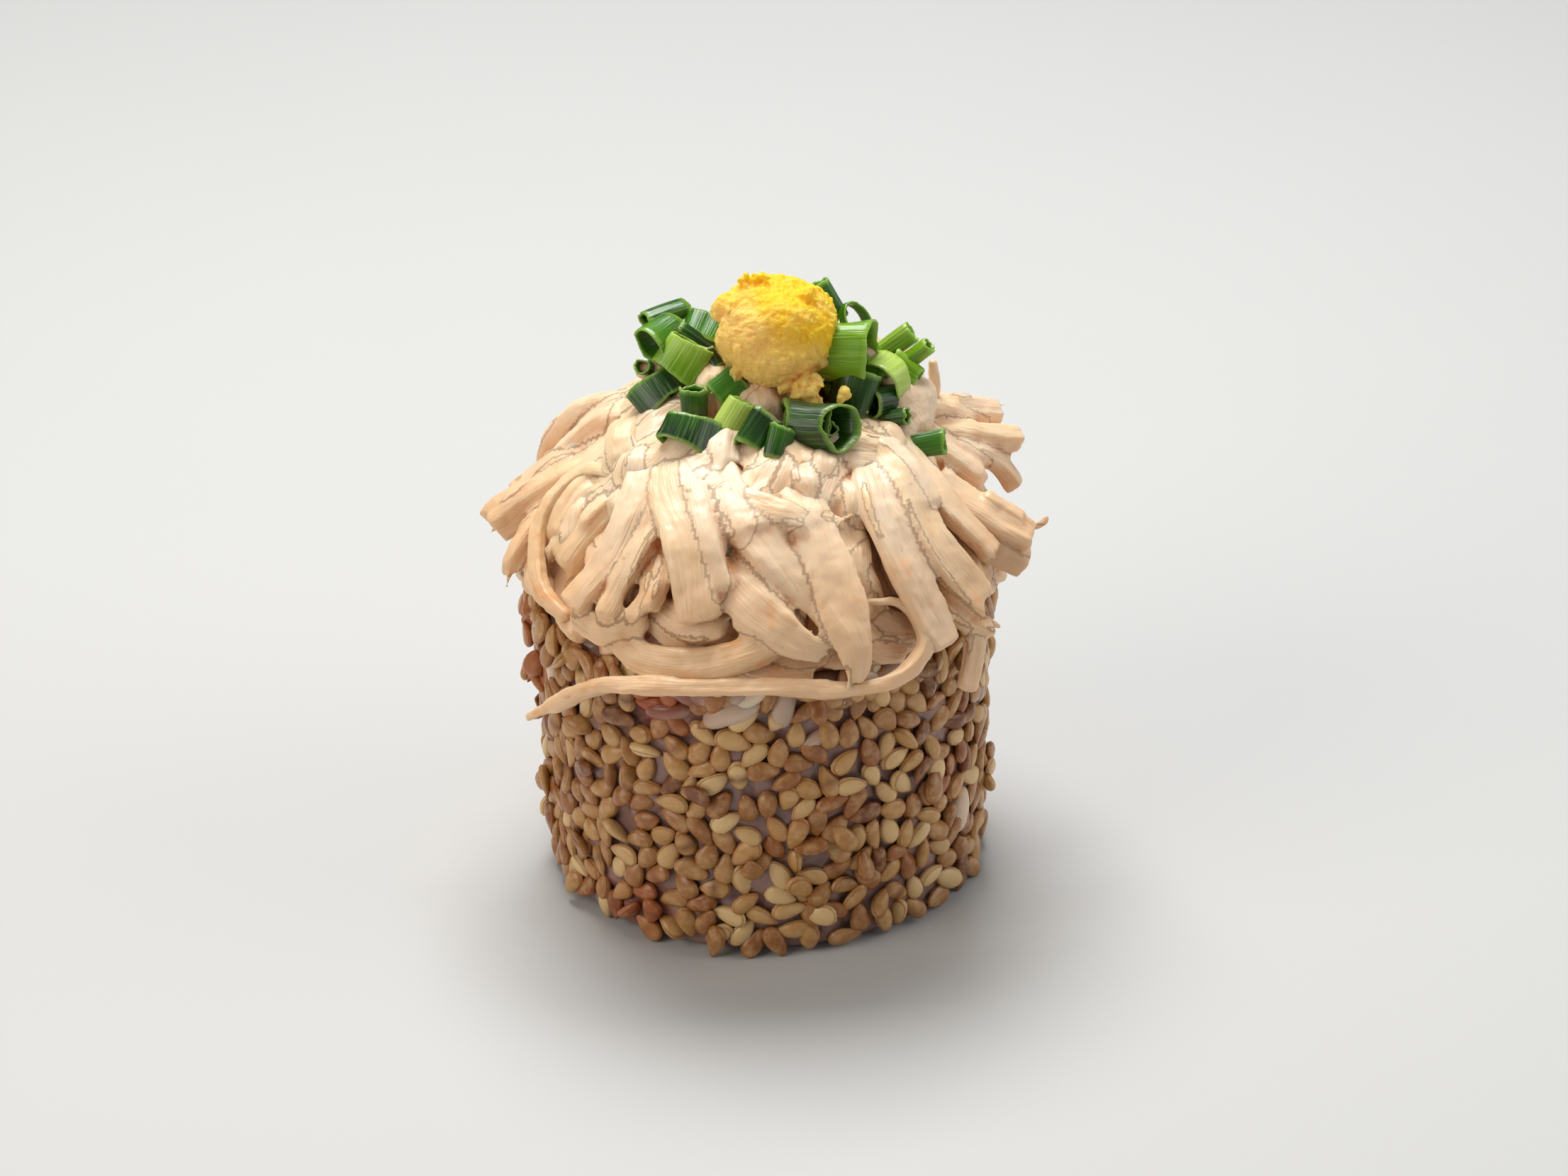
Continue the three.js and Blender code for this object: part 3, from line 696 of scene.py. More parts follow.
@dataclass(frozen=True)
class ScallionLeaf:
    """Raw scallion leaf, freshly cut: a smooth waxy skin with fine ribs, wet, and paler at the cut, partly a
    painted wet glint.
    """

    black: str = "#0C1C04"
    dark: str = "#1C400A"
    middle: str = "#417A0F"
    lime: str = "#77A30A"
    pale: str = "#BFD766"
    # paler cut edges: partly the cut's own colour, partly a painted wet glint
    cut: str = "#A5CC58"
    # pale rib streaks: partly waxy bloom, partly a painted sheen
    bloom_and_sheen: str = "#A4C07A"

    def material(self) -> bpy.types.Material:
        """Builds the material; the leaf mark holds millimetres round and along a ring.

        Ribs are 0.18 mm apart round the leaf, and run along it. Wider bands of 0.8 mm change the green.
        Pale streaks on the ribs are partly waxy bloom and partly a painted sheen.

        Returns:
            The material.
        """
        s = Shader("scallion_leaf_wet_ribbed")
        leaf = s.mark("leaf", "Vector")
        tone = s.mark("tone")
        rib = s.noise(s.stretched(leaf, (5.5, 0.2, 5.5)), 1.0, 2.0, 0.5)
        wide = s.noise(s.stretched(leaf, (1.2, 0.2, 1.2)), 1.0, 2.0, 0.5)
        shade = s.math("ADD", tone, s.over(rib, 0.5, 0.5))
        shade = s.math("ADD", shade, s.over(wide, 0.5, 0.4))
        places = (0.0, 0.14, 0.42, 0.75, 1.0)
        colour = s.ramp(list(zip(places, (self.black, self.dark, self.middle, self.lime, self.pale))), shade)
        # pale streaks on the ribs: partly waxy bloom, partly a painted sheen
        streak = s.over(rib, 0.56, 7.0)
        streak = s.times(streak, s.times(s.mark("ribbed"), 0.22))
        colour = s.blend(streak, colour, self.bloom_and_sheen)
        # paler cut edges, partly a painted wet glint
        colour = s.blend(s.times(s.mark("cut"), 0.5), colour, self.cut)
        settings = {
            "Roughness": 0.28, "IOR": 1.45, "Coat Weight": 0.25, "Coat Roughness": 0.12,
            "Subsurface Weight": 0.12, "Subsurface Radius": (0.5, 1.0, 0.15), "Subsurface Scale": 0.6 * MM,
        }
        return s.finish(settings, {"Base Color": colour, "Normal": s.bump(rib, 0.1, 0.8)})


@dataclass(frozen=True)
class EggYolk:
    """Hard-boiled egg yolk, pressed to a ball: golden, matte and crumbly."""

    # painted light: a richer gold on the lit upper right side, paler on the shaded side, and a painted shade
    # in the crevices
    lit_gold: str = "#FFC81E"
    pale: str = "#FFCD6E"
    deep: str = "#F6A936"
    crumb: str = "#FFD888"

    def material(self) -> bpy.types.Material:
        """Builds the material. The upper right side, where the light falls, is a richer gold, a painted
        light, and the crevices between crumbs are a deeper orange, a painted shade.

        Returns:
            The material.
        """
        s = Shader("egg_yolk_hard_boiled_crumbly")
        place = s.place()
        patch = s.noise(place, 2.38, 3.0, 0.6)
        # painted light: richer gold on the upper right side, where the light falls
        colour = s.blend(s.mark("rich"), self.pale, self.lit_gold)
        lighter = s.over(patch, 0.5, 3.0)
        colour = s.blend(s.times(lighter, 0.5), colour, self.crumb)
        # painted shade: deeper orange in the crevices between crumbs
        colour = s.blend(s.mark("crease"), colour, self.deep)
        coarse = s.bump(s.noise(place, 0.588, 3.0, 0.7), 0.3, 0.8)
        grain = s.noise(place, 0.3125, 3.0, 0.7)
        settings = {
            "Roughness": 0.6, "IOR": 1.4,
            "Subsurface Weight": 0.55, "Subsurface Radius": (1.0, 0.55, 0.12), "Subsurface Scale": 2.0 * MM,
        }
        return s.finish(settings, {"Base Color": colour, "Normal": s.bump(grain, 0.16, 0.9, coarse)})


@dataclass(frozen=True)
class PaleFloor:
    """Matte painted board: a plain pale floor."""

    colour: str = "#C4C4C2"

    def material(self) -> bpy.types.Material:
        """Builds the material, with a faint unevenness in its roughness.

        Returns:
            The material.
        """
        s = Shader("matte_painted_board")
        place = s.place()
        return s.finish(
            {"Base Color": to_linear(self.colour)},
            {"Roughness": s.math("ADD", 0.6, s.times(s.noise(place, 33.3), 0.1))},
        )


# ---- Rice and sesame ----

STAINS = [  # azimuth, height, reach and strength of the places where sauce has run into the roll
    (-37.0, 2.2, 3.4, 0.6),
    (-25.0, 24.6, 3.6, 1.1),
    (-86.0, 21.5, 5.0, 0.8),
    (-97.0, 23.5, 3.5, 0.7),
    (-16.0, 25.5, 2.0, 0.8),
    (58.0, 13.0, 2.4, 0.35),
    (150.0, 24.5, 4.0, 0.6),
    (215.0, 5.0, 4.5, 0.7),
]


def stain_at(points: Array) -> Array:
    """How much sauce has soaked into the roll: the largest of the stains' fading, ragged rings.

    Args:
        points: Points on the roll.

    Returns:
        A number for each point, 0 where it is clean.
    """
    total = np.zeros(len(points))
    for azimuth, height, reach, strength in STAINS:
        away = np.linalg.norm(points - polar(azimuth, rice_radius(height), height), axis=-1)
        ragged = away * (1.0 + 0.45 * lattice_noise(points * 0.9, 31))
        total = np.maximum(total, strength * ease(1.3 - ragged / reach))
    return total


def side_frame(azimuth: Array, turn: Array, tilt: Array, roll: Array) -> tuple[Array, Array, Array]:
    """The length, width and outward directions of pieces that lie on the roll's side.

    Args:
        azimuth: Where each piece is, in degrees.
        turn: How far its length is turned up from level, in degrees.
        tilt: How far its tip is lifted off the side, in degrees.
        roll: How far it leans on its long edge, in degrees.

    Returns:
        Three arrays of unit vectors.
    """
    out = polar(azimuth, 1.0, 0.0)
    level = np.cross([0.0, 0.0, 1.0], out)
    t, lift, lean = (np.radians(a)[:, None] for a in (turn, tilt, roll))
    along = level * np.cos(t) + np.array([0.0, 0.0, 1.0]) * np.sin(t)
    across = np.cross(out, along)
    along, out = along * np.cos(lift) + out * np.sin(lift), out * np.cos(lift) - along * np.sin(lift)
    across, out = across * np.cos(lean) + out * np.sin(lean), out * np.cos(lean) - across * np.sin(lean)
    return along, across, out


@dataclass
class RiceRoll:
    """The rice under the seeds and the rice grains that show."""

    rows: int = 130
    columns: int = 460
    edge_round: float = 1.3
    inset: float = 0.15
    relief: float = 0.32
    grain_length: float = 4.8
    grain_width: float = 2.3
    rim_grains: int = 14
    finish: StickyRice = StickyRice()
    shown: tuple[tuple[float, float, float, float], ...] = (
        (-25.0, 22.8, 10.0, 0.85),
        (-21.0, 25.0, -20.0, 0.85),
        (-8.0, 23.5, 22.0, 1.05),
        (-3.0, 24.9, 40.0, 0.8),
        (5.0, 24.0, 78.0, 0.9),
        (-14.0, 24.8, -10.0, 0.8),
        (61.0, 8.0, 80.0, 0.95),
        (-80.0, 23.4, 30.0, 0.95),
        (-70.0, 21.2, -70.0, 0.8),
        (-88.0, 20.4, 50.0, 0.95),
        (-97.0, 22.4, -20.0, 0.9),
        (33.0, 25.2, 10.0, 0.8),
        (76.0, 18.0, 80.0, 0.8),
        (13.0, 20.4, 30.0, 0.6),
    )

    def core(self) -> Surface:
        """The rice body: radius and height as functions of the way up its outline and of the turn.

        The outline goes from the middle of the foot out, up the side and in over the top, with round
        edges. Noise moves the side in and out.

        Returns:
            The closed body, with its marks.
        """
        corner = np.linspace(0.0, math.pi / 2, 9)
        foot, top = RICE_FOOT_RADIUS - self.inset, RICE_TOP_RADIUS - self.inset
        rise = np.linspace(self.edge_round, ROLL_HEIGHT - self.edge_round, self.rows - 20)
        radius = np.concatenate(
            [
                [0.0, foot * 0.6],
                foot - self.edge_round * (1 - np.sin(corner[:-1])),
                rice_radius(rise) - self.inset,
                top - self.edge_round * (1 - np.cos(corner[1:])),
                [top * 0.6, 0.0],
            ]
        )
        height = np.concatenate(
            [
                [0.0, 0.0],
                self.edge_round * (1 - np.cos(corner[:-1])),
                rise,
                ROLL_HEIGHT - self.edge_round * (1 - np.sin(corner[1:])),
                [ROLL_HEIGHT, ROLL_HEIGHT],
            ]
        )
        azimuth = np.linspace(0.0, 360.0, self.columns, endpoint=False)
        points = polar(azimuth[None, :], radius[:, None], height[:, None])
        round_way = points * 0.42
        bumps = 2.4 * np.abs(lattice_noise(round_way, 5)) - 0.6 + 0.4 * lattice_noise(points * 1.1, 6)
        fade = ease(height / 2.0)[:, None] * ease(radius / RICE_FOOT_RADIUS)[:, None]
        out = np.concatenate([unit(points[..., :2] + 1e-9), np.zeros_like(points[..., :1])], -1)
        points = points + out * (self.relief * bumps * fade)[..., None]
        points[[0, -1]] = points[[0, -1], :1]
        surface = closed_grids(points[None])
        surface.marks["stain"] = stain_at(surface.points)
        # painted light: the rice is lifted to its lit colour towards the top rim
        surface.marks["bright"] = 0.3 * ease((surface.points[:, 2] - 22.0) / 4.0)
        return surface

    def grains(self, random: Random) -> Surface:
        """Rice grains: long ellipsoids with blunt ends, dented by noise, laid on the roll.

        Args:
            random: The source of random numbers.

        Returns:
            All the grains, with their marks.
        """
        azimuth = random.uniform(0.0, 360.0, self.rim_grains)
        height = ROLL_HEIGHT - random.uniform(0.3, 1.2, self.rim_grains)
        shown = np.array(self.shown)
        azimuth = np.concatenate([shown[:, 0], azimuth])
        height = np.concatenate([shown[:, 1], height])
        turn = np.concatenate([shown[:, 2], random.uniform(-60.0, 60.0, self.rim_grains)])
        size = np.concatenate([shown[:, 3], random.uniform(0.7, 0.9, self.rim_grains)])
        count = len(azimuth)
        ball = ball_directions(13, 16)
        tilt = random.uniform(-8, 8, count)
        along, across, out = side_frame(azimuth, turn, tilt, random.uniform(-15, 15, count))
        blunt = np.sign(ball[..., 2]) * np.abs(ball[..., 2]) ** 0.8
        half_long, half_wide = self.grain_length / 2, self.grain_width / 2
        local = np.stack([blunt * half_long, ball[..., 0] * half_wide, ball[..., 1]], -1)
        local = local[None] * size[:, None, None, None]
        wobble = 1.0 + 0.12 * lattice_noise(local * 0.8 + np.arange(count)[:, None, None, None] * 7.3, 8)
        local = local * wobble[..., None]
        middle = polar(azimuth, rice_radius(height) - 0.1 + random.uniform(0.0, 0.35, count), height)
        axes = np.stack([along, across, out], 1)
        points = middle[:, None, None] + np.einsum("nrci,nij->nrcj", local, axes)
        surface = closed_grids(points)
        surface.marks["stain"] = np.minimum(stain_at(surface.points), 0.85)
        # painted light: each grain that shows is lifted towards the lit colour by a random share
        surface.marks["bright"] = np.repeat(random.uniform(0.3, 1.0, count), len(surface.points) // count)
        return surface

    def build(self, random: Random) -> bpy.types.Object:
        """Builds and dresses the rice.

        Args:
            random: The source of random numbers.

        Returns:
            The piece.
        """
        piece = build_mesh(join([self.core(), self.grains(random)]), "sticky_rice")
        piece.data.materials.append(self.finish.material())
        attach(piece, "root")
        return piece


@dataclass
class SesameCoat:
    """The toasted seeds that cover the side, pressed side by side, with some lying on others."""

    count: int = 700
    upper: int = 104
    length: tuple[float, float] = (2.6, 3.3)
    width: tuple[float, float] = (1.5, 1.95)
    thick: tuple[float, float] = (0.85, 1.15)
    lowest: float = 1.0
    highest: float = 25.9
    edge: int = 60
    rounds: int = 60
    tint: tuple[float, float] = (0.42, 0.26)
    roasted: float = 0.06
    burnt: float = 0.08
    tipped: float = 0.45
    on_edge: float = 0.05
    finish: ToastedSesame = ToastedSesame()
    placed: tuple[tuple[float, float, float, float], ...] = (
        (-93.0, 13.0, 20.0, 1.2),
        (-86.0, 7.5, 10.0, 1.0),
        (-62.0, 1.9, 60.0, 1.1),
        (-14.0, 1.6, 80.0, 1.0),
        (84.0, 23.5, 70.0, 1.0),
        (-88.0, 25.2, 75.0, 1.1),
        (-80.0, 26.0, 30.0, 1.0),
        (-95.0, 22.0, 5.0, 1.3),
        (-90.0, 24.2, 60.0, 1.9),
        (-93.0, 17.4, 0.0, 2.0),
        (-84.0, 19.0, -40.0, 1.2),
        (-84.0, 22.4, 70.0, 1.6),
        (-78.0, 20.6, 80.0, 1.5),
        (-66.0, 23.6, 75.0, 1.2),
        (-12.0, 24.8, 80.0, 1.0),
        (13.0, 24.2, 85.0, 1.3),
        (21.0, 24.4, 30.0, 1.1),
        (49.0, 24.2, 70.0, 1.2),
        (57.0, 23.6, 10.0, 1.3),
    )

    def packed(self, random: Random) -> tuple[Array, Array, Array, Array, Array]:
        """Packs ovals side by side on the unrolled side.

        Each pair that overlaps is pushed apart along the line between its middles, and each oval turns
        the way that shortens its reach along that line. This is repeated a set number of times.

        Args:
            random: The source of random numbers.

        Returns:
            Arc length, height, turn in radians, half length and half width of each seed.
        """
        girth = 2 * math.pi * rice_radius(ROLL_HEIGHT / 2)
        rows = round(math.sqrt(self.count * (self.highest - self.lowest) / girth))
        place = np.arange(self.count)
        x = (place / self.count * rows % 1.0) * girth + random.uniform(-1.0, 1.0, self.count)
        z = self.lowest + (place * rows // self.count + random.uniform(0.0, 1.0, self.count)) / rows * (
            self.highest - self.lowest
        )
        turn = random.uniform(0.0, math.pi, self.count)
        long = random.uniform(*self.length, self.count) / 2
        wide = random.uniform(*self.width, self.count) / 2
        for _ in range(self.rounds):
            dx = x[:, None] - x[None]
            dx -= girth * np.round(dx / girth)
            dz = z[:, None] - z[None]
            apart = np.hypot(dx, dz) + 1e-6
            angle = np.arctan2(dz, dx) - turn[:, None]
            spread = (wide[:, None] * np.cos(angle)) ** 2 + (long[:, None] * np.sin(angle)) ** 2
            reach = long[:, None] * wide[:, None] / np.sqrt(spread)
            oval = long[:, None] ** 2 - wide[:, None] ** 2
            change = -reach * oval * np.sin(angle) * np.cos(angle) / spread
            over = np.clip((reach + reach.T) * 0.9 - apart, 0.0, None)
            np.fill_diagonal(over, 0.0)
            x += (over * dx / apart).sum(1) * 0.3
            z += (over * dz / apart).sum(1) * 0.3
            turn += np.clip((over * change).sum(1) * 0.5, -0.3, 0.3)
            x %= girth
            z = np.clip(z, self.lowest, self.highest)
        return x, z, turn, long, wide

    def surface(self, random: Random) -> Surface:
        """All the seeds: each an ellipsoid that narrows to a tip, a little bent and dented by noise.

        Args:
            random: The source of random numbers.

        Returns:
            The seeds, with their marks.
        """
        x, z, turn, long, wide = self.packed(random)
        base_azimuth = np.degrees(x / rice_radius(ROLL_HEIGHT / 2))
        shown = np.array(self.placed)
        upper, place = self.upper, np.arange(self.upper)
        at_edge = place < self.edge
        raised = np.where(at_edge, random.uniform(24.0, 26.2, upper), random.uniform(2.0, 24.0, upper))
        around = np.where(at_edge, 12.0 + 316.0 * place / self.edge, random.uniform(0.0, 360.0, upper))
        azimuth = np.concatenate([base_azimuth, around, shown[:, 0]])
        height = np.concatenate([z, raised, shown[:, 1]])
        turns = np.concatenate([np.degrees(turn), random.uniform(0, 360, upper), shown[:, 2]])
        flip = np.where(random.random(len(turns)) < 0.5, 180.0, 0.0)
        count = len(azimuth)
        extra = upper + len(shown)
        half_long = np.concatenate([long, random.uniform(*self.length, extra) / 2])
        half_wide = np.concatenate([wide, random.uniform(*self.width, extra) / 2])
        half_thick = random.uniform(*self.thick, count) / 2
        sunk = random.uniform(0.1, 0.42, self.count)
        lift = np.concatenate([sunk, random.uniform(0.75, 1.05, upper), shown[:, 3] * 0.8])
        tilt = random.normal(0.0, 7.0, count)
        tilt = tilt + np.concatenate([np.zeros(self.count), random.normal(0, 16.0, extra)])
        lean = random.normal(0.0, 10.0, count)
        edge_on = random.random(count) < self.on_edge
        lean = np.where(edge_on, 62.0, lean)
        along, across, out = side_frame(azimuth, turns + flip, tilt, lean)
        ball = ball_directions(9, 10)
        u = ball[..., 2]
        slim = (1.0 - 0.3 * u) * (1.0 - 0.22 * np.clip(u, 0, 1) ** 3)
        local = np.stack(
            [
                u[None] * half_long[:, None, None],
                (ball[..., 0] * slim)[None] * half_wide[:, None, None],
                (ball[..., 1] * slim)[None] * half_thick[:, None, None],
            ],
            -1,
        )
        key = np.arange(count)[:, None, None, None] * 3.7
        local = local * (1.0 + 0.07 * lattice_noise(local * 0.9 + key, 3))[..., None]
        bend = random.normal(0.0, 0.08, count)[:, None, None] * (local[..., 0] ** 2)
        local[..., 2] += np.clip(bend, -0.25, 0.25)
        middle = polar(azimuth, rice_radius(height) + lift, height)
        points = middle[:, None, None] + np.einsum("nrci,nij->nrcj", local, np.stack([along, across, out], 1))
        low = points[..., 2].min((1, 2))
        points[..., 2] += np.maximum(0.02 - low, 0.0)[:, None, None]
        surface = closed_grids(points)
        skin = np.stack(np.broadcast_arrays(u, ball[..., 0], ball[..., 1]), -1)
        skin = np.concatenate([skin[:1, 0], skin[1:-1].reshape(-1, 3), skin[-1:, 0]])
        each = len(skin)
        surface.marks["skin"] = np.tile(skin, (count, 1))
        tint = random.normal(*self.tint, count) + 0.45 * (random.random(count) < self.roasted)
        tint = np.clip(tint, 0.0, 1.0)
        burn = np.where(random.random(count) < self.burnt, random.uniform(0.6, 1.0, count), 0.0)
        dark_tip = np.where(random.random(count) < self.tipped, random.uniform(0.5, 1.0, count), 0.0)
        vein = random.uniform(0.35, 0.95, count)
        stain = 0.75 * stain_at(polar(azimuth, rice_radius(height), height))
        named = {"tint": tint, "burn": burn, "dark_tip": dark_tip, "vein": vein, "stain": stain}
        for name, values in named.items():
            surface.marks[name] = np.repeat(values, each)
        return surface

    def build(self, random: Random) -> bpy.types.Object:
        """Builds and dresses the coat. It stands for the roll's solid.

        Args:
            random: The source of random numbers.

        Returns:
            The piece.
        """
        piece = build_mesh(self.surface(random), "sesame_coat")
        piece.data.materials.append(self.finish.material())
        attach(piece, "root")
        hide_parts("sesame_rice_roll")
        return piece


# ---- Chicken ----


@dataclass
class Shred:
    """One shred of chicken: its width and thickness, its way points and its ends."""

    wide: float
    thick: float
    way: Way
    end: End = End.ROUND
    start: End = End.ROUND


@dataclass
class Carried:
    """A shred's line with the directions and half sizes at each of its points."""

    line: Array
    along: Array
    across: Array
    out: Array
    half_wide: Array
    half_thick: Array
    length: Array


SHREDS = [  # way points: azimuth, radius, height
    Shred(3.4, 3.7, [(-87, 11, 38.2), (-87, 17, 35.2), (-88, 22.0, 31.7)], End.SQUARE, End.SQUARE),
    Shred(2.4, 2.2, [(-93, 12.5, 38.2), (-95, 17, 36.2), (-95, 20.6, 33.4)], End.SQUARE),
    Shred(2.2, 2.1, [(-84, 14, 35.6), (-79, 19, 33), (-76, 21.9, 29.4)], End.ROUND),
    Shred(3.6, 2.4, [(-94, 9, 41.2), (-71, 11.5, 41), (-58, 12.5, 39.5)]),
    Shred(2.3, 2.1, [(-108, 9.5, 41.3), (-115, 15, 39.3), (-115, 18.5, 36.3), (-110, 19.5, 31)]),
    Shred(5.0, 3.6, [(-98, 8, 41.0), (-104, 12.5, 38.8), (-101, 16.5, 34.6)]),
    Shred(3.0, 2.2, [(-110, 12, 40), (-107, 14, 38), (-100, 15, 35)]),
    Shred(5.0, 3.6, [(-76, 10, 39.6), (-70, 14.5, 36.6), (-67, 18.2, 32.2)]),
    Shred(4.4, 3.2, [(-58, 12, 38), (-58, 16.5, 34.8), (-60, 18.8, 31.6)]),
    Shred(2.6, 2.0, [(-84, 17, 32), (-72, 19.3, 30.2), (-58, 20, 29.6)]),
    Shred(4.2, 2.0, [(-59, 8, 41.6), (-34, 13, 40), (-20, 17, 37.3), (-14, 20.2, 32.2)], End.SQUARE),
    Shred(2.5, 1.7, [(-45, 8, 42.0), (-22, 13.5, 40.2), (-14, 16.7, 37.9), (-9, 18.8, 34.4)], End.SQUARE),
    Shred(3.5, 2.0, [(-50, 11, 41), (-42, 15.5, 38), (-42, 17.8, 35.3), (-47, 21, 31.1)], End.SQUARE),
    Shred(2.2, 1.9, [(-36, 12.5, 39.3), (-34, 17, 36.3), (-37, 21, 31.4)], End.SQUARE),
    Shred(1.9, 1.6, [(-27, 15, 36.2), (-26, 18.5, 34), (-27, 20, 32.5)], End.SQUARE),
    Shred(1.7, 1.5, [(-31, 16, 35.5), (-29, 19, 33.2), (-31, 20.6, 31.4)]),
    Shred(3.2, 1.5, [(-26, 8.5, 41.0), (-11, 12, 40.5), (-3, 15.9, 38.3)], End.SQUARE),
    Shred(2.2, 1.3, [(-6, 13.0, 40.0), (9, 14.6, 39.4), (23, 15.0, 38.2)], End.TIP, End.SQUARE),
    Shred(1.8, 1.2, [(2, 13.4, 39.6), (13, 15.2, 38.6), (24, 15.4, 37.6)], End.POINT, End.SQUARE),
    Shred(4.0, 1.6, [(-13, 11.5, 40.4), (0, 15.5, 37.6), (8, 18, 34.9), (14, 20.8, 31.0)], End.POINT),
    Shred(
        5.2,
        2.2,
        [(14, 11.5, 40.2), (17, 16, 36.8), (18, 19.2, 33.4), (20, 22, 30), (19.5, 22.9, 27)],
        End.BLUNT,
    ),
    Shred(4.0, 2.0, [(46, 12.0, 39.9), (38, 15.7, 38.5), (37.5, 19.5, 34.3), (40, 23, 28.3)], End.SQUARE),
    Shred(5.0, 1.9, [(62, 11.5, 40.8), (52, 15, 38.8), (48.5, 18.8, 35.4), (54, 22.2, 30.0)], End.SQUARE),
    Shred(3.2, 1.6, [(61, 11.5, 41.4), (56, 14.7, 39.9), (53, 17.3, 37.4)], End.SQUARE),
    Shred(3.6, 1.9, [(74, 10.5, 41), (66, 14.5, 38.4), (63, 17.8, 35.8), (65, 21, 32)], End.SQUARE),
    Shred(4.4, 3.8, [(73, 14.5, 36.4), (74, 19.5, 33.6), (76, 22.9, 31.4)], End.SQUARE),
    Shred(3.6, 3.0, [(67, 15, 34.5), (71, 19.5, 32.0), (74, 22.8, 29.8)], End.SQUARE),
    Shred(0.9, 0.9, [(79, 21.8, 32.2), (82, 23.5, 31.9), (84, 24.1, 32.4)], End.TIP),
    Shred(4.8, 3.4, [(84, 9, 41.2), (88, 14, 38.2), (90, 19, 34.2)]),
    Shred(4.0, 3.0, [(100, 10, 41.4), (103, 14.5, 39.8), (107, 19.0, 37.4)], End.SQUARE),
    Shred(2.5, 2.3, [(100, 14, 40.2), (106, 18.5, 38.6), (108, 21.6, 37.6)], End.SQUARE),
    Shred(2.4, 2.3, [(96, 14, 38.8), (99, 19.5, 37.0), (101, 22.4, 36.0)], End.SQUARE),
    Shred(2.2, 2.0, [(92, 16, 37.6), (97, 20, 35.0), (96, 21.8, 32.6)], End.SQUARE),
    Shred(4.2, 3.2, [(108, 12, 38.6), (112, 16, 36.6), (112, 19.5, 33.4)]),
    Shred(2.4, 1.7, [(44, 19, 31.9), (48, 21.5, 29.5), (55, 23, 26.9)], End.TIP),
    Shred(2.5, 1.5, [(54, 20.6, 30.4), (50, 22.5, 27), (45, 23.3, 23.6)], End.SQUARE),
    Shred(
        3.3,
        1.9,
        [(-37, 20.1, 29.2), (-26, 20.8, 28.6), (-12, 20.9, 29.1), (0, 20.2, 30.2), (8, 18.6, 31.0)],
        End.SQUARE,
    ),
    Shred(
        4.8,
        1.7,
        [(-13, 16.6, 35.4), (-1, 19.3, 33.0), (8, 21.0, 30.9), (15, 21.5, 29.5)],
        End.BLUNT,
        End.SQUARE,
    ),
    Shred(2.6, 1.6, [(-49, 20.3, 30.2), (-37, 20.5, 30), (-26, 19.5, 32)]),
]
UNDER_SHREDS = [  # the ones that show low down in front, below and between the others
    Shred(3.2, 2.2, [(-34, 17.5, 32.5), (-20, 18.6, 31.2), (-6, 18.8, 31.4)]),
    Shred(2.8, 2.0, [(24, 17.6, 31.6), (33, 19.2, 29.6), (44, 19.6, 28.4)]),
    Shred(2.4, 1.8, [(50, 17.0, 31.5), (40, 19.2, 28.8), (30, 20.2, 27.6)]),
    Shred(2.4, 1.8, [(20, 18.0, 30.4), (27, 19.8, 28.6), (36, 20.4, 27.4)]),
    Shred(2.2, 1.8, [(-10, 18.6, 29.2), (4, 19.4, 28.4), (18, 19.2, 28.8)]),
    Shred(3.0, 2.0, [(60, 17, 31.5), (58, 19.4, 29), (54, 20.4, 27)]),
    Shred(2.8, 2.2, [(-66, 17, 31.4), (-56, 19, 29.4), (-46, 19.8, 28.2)]),
    Shred(2.6, 2.0, [(-88, 17, 32), (-78, 19, 30), (-68, 19.6, 28.6)]),
    Shred(3.4, 2.4, [(74, 16, 33), (82, 18.6, 30.6), (90, 19.4, 28.8)]),
    Shred(3.0, 2.2, [(66, 17.4, 30.6), (76, 19.4, 28.6), (84, 19.8, 27.2)]),
]


LOOSE_SHREDS = [  # the upright stub, the noodle-like loop at the left and the long strand along the rim
    Shred(1.25, 1.1, [(101, 14.4, 38.6), (103, 15.2, 41), (104, 15.1, 44.3)], End.SQUARE),
    Shred(
        1.7,
        1.5,
        [
            (-52, 12.5, 39.2), (-74, 14.9, 38.2), (-73, 18.4, 35.2),
            (-66, 20.0, 32.5), (-58, 20.6, 30.6), (-50, 20.4, 29.4),
        ],
    ),
    Shred(
        1.7,
        1.5,
        [
            (-54, 24, 20.9), (-44, 23.6, 24.1), (-34, 23, 26.5), (-15, 22.2, 27.6), (4, 21.8, 27.5),
            (19, 22.6, 26.9), (29, 23, 27.3), (36, 22.5, 29.5), (34, 20.5, 32), (25, 19, 32.5),
        ],
        End.TIP,
        End.TIP,
    ),
]
SAUCE_LUMPS = [  # x, y, z and radius of the sauced lumps that rise between the scallion rings
    (0.3, -3.6, 43.1, 2.0),
    (-3.0, -1.6, 44.1, 2.0),
    (-4.4, 0.6, 46.0, 1.3),
    (-5.6, 2.8, 46.9, 1.1),
    (-9.0, 1.0, 44.9, 0.9),
    (-6.6, 1.4, 45.2, 1.8),
    (3.0, 3.0, 45.0, 3.0),
    (9.0, 2.6, 44.2, 2.4),
    (1.0, 0.0, 43.8, 2.6),
    (12.4, 0.6, 41.2, 2.6),
    (11.0, 5.0, 42.2, 2.6),
]


@dataclass
class ChickenLayer:
    """A part of the heap with a skin of its own.

    fibres and splinters are how many a shred has, at least and below, and sauce is how far the skin
    is moved out and in, low down and at the top. bodies are what the shreds lie on.
    """

    name: str
    shreds: list[Shred]
    voxel: float
    fibres: tuple[int, int]
    splinters: tuple[int, int]
    sauce: tuple[float, float]
    bodies: list[Surface] = field(default_factory=list)


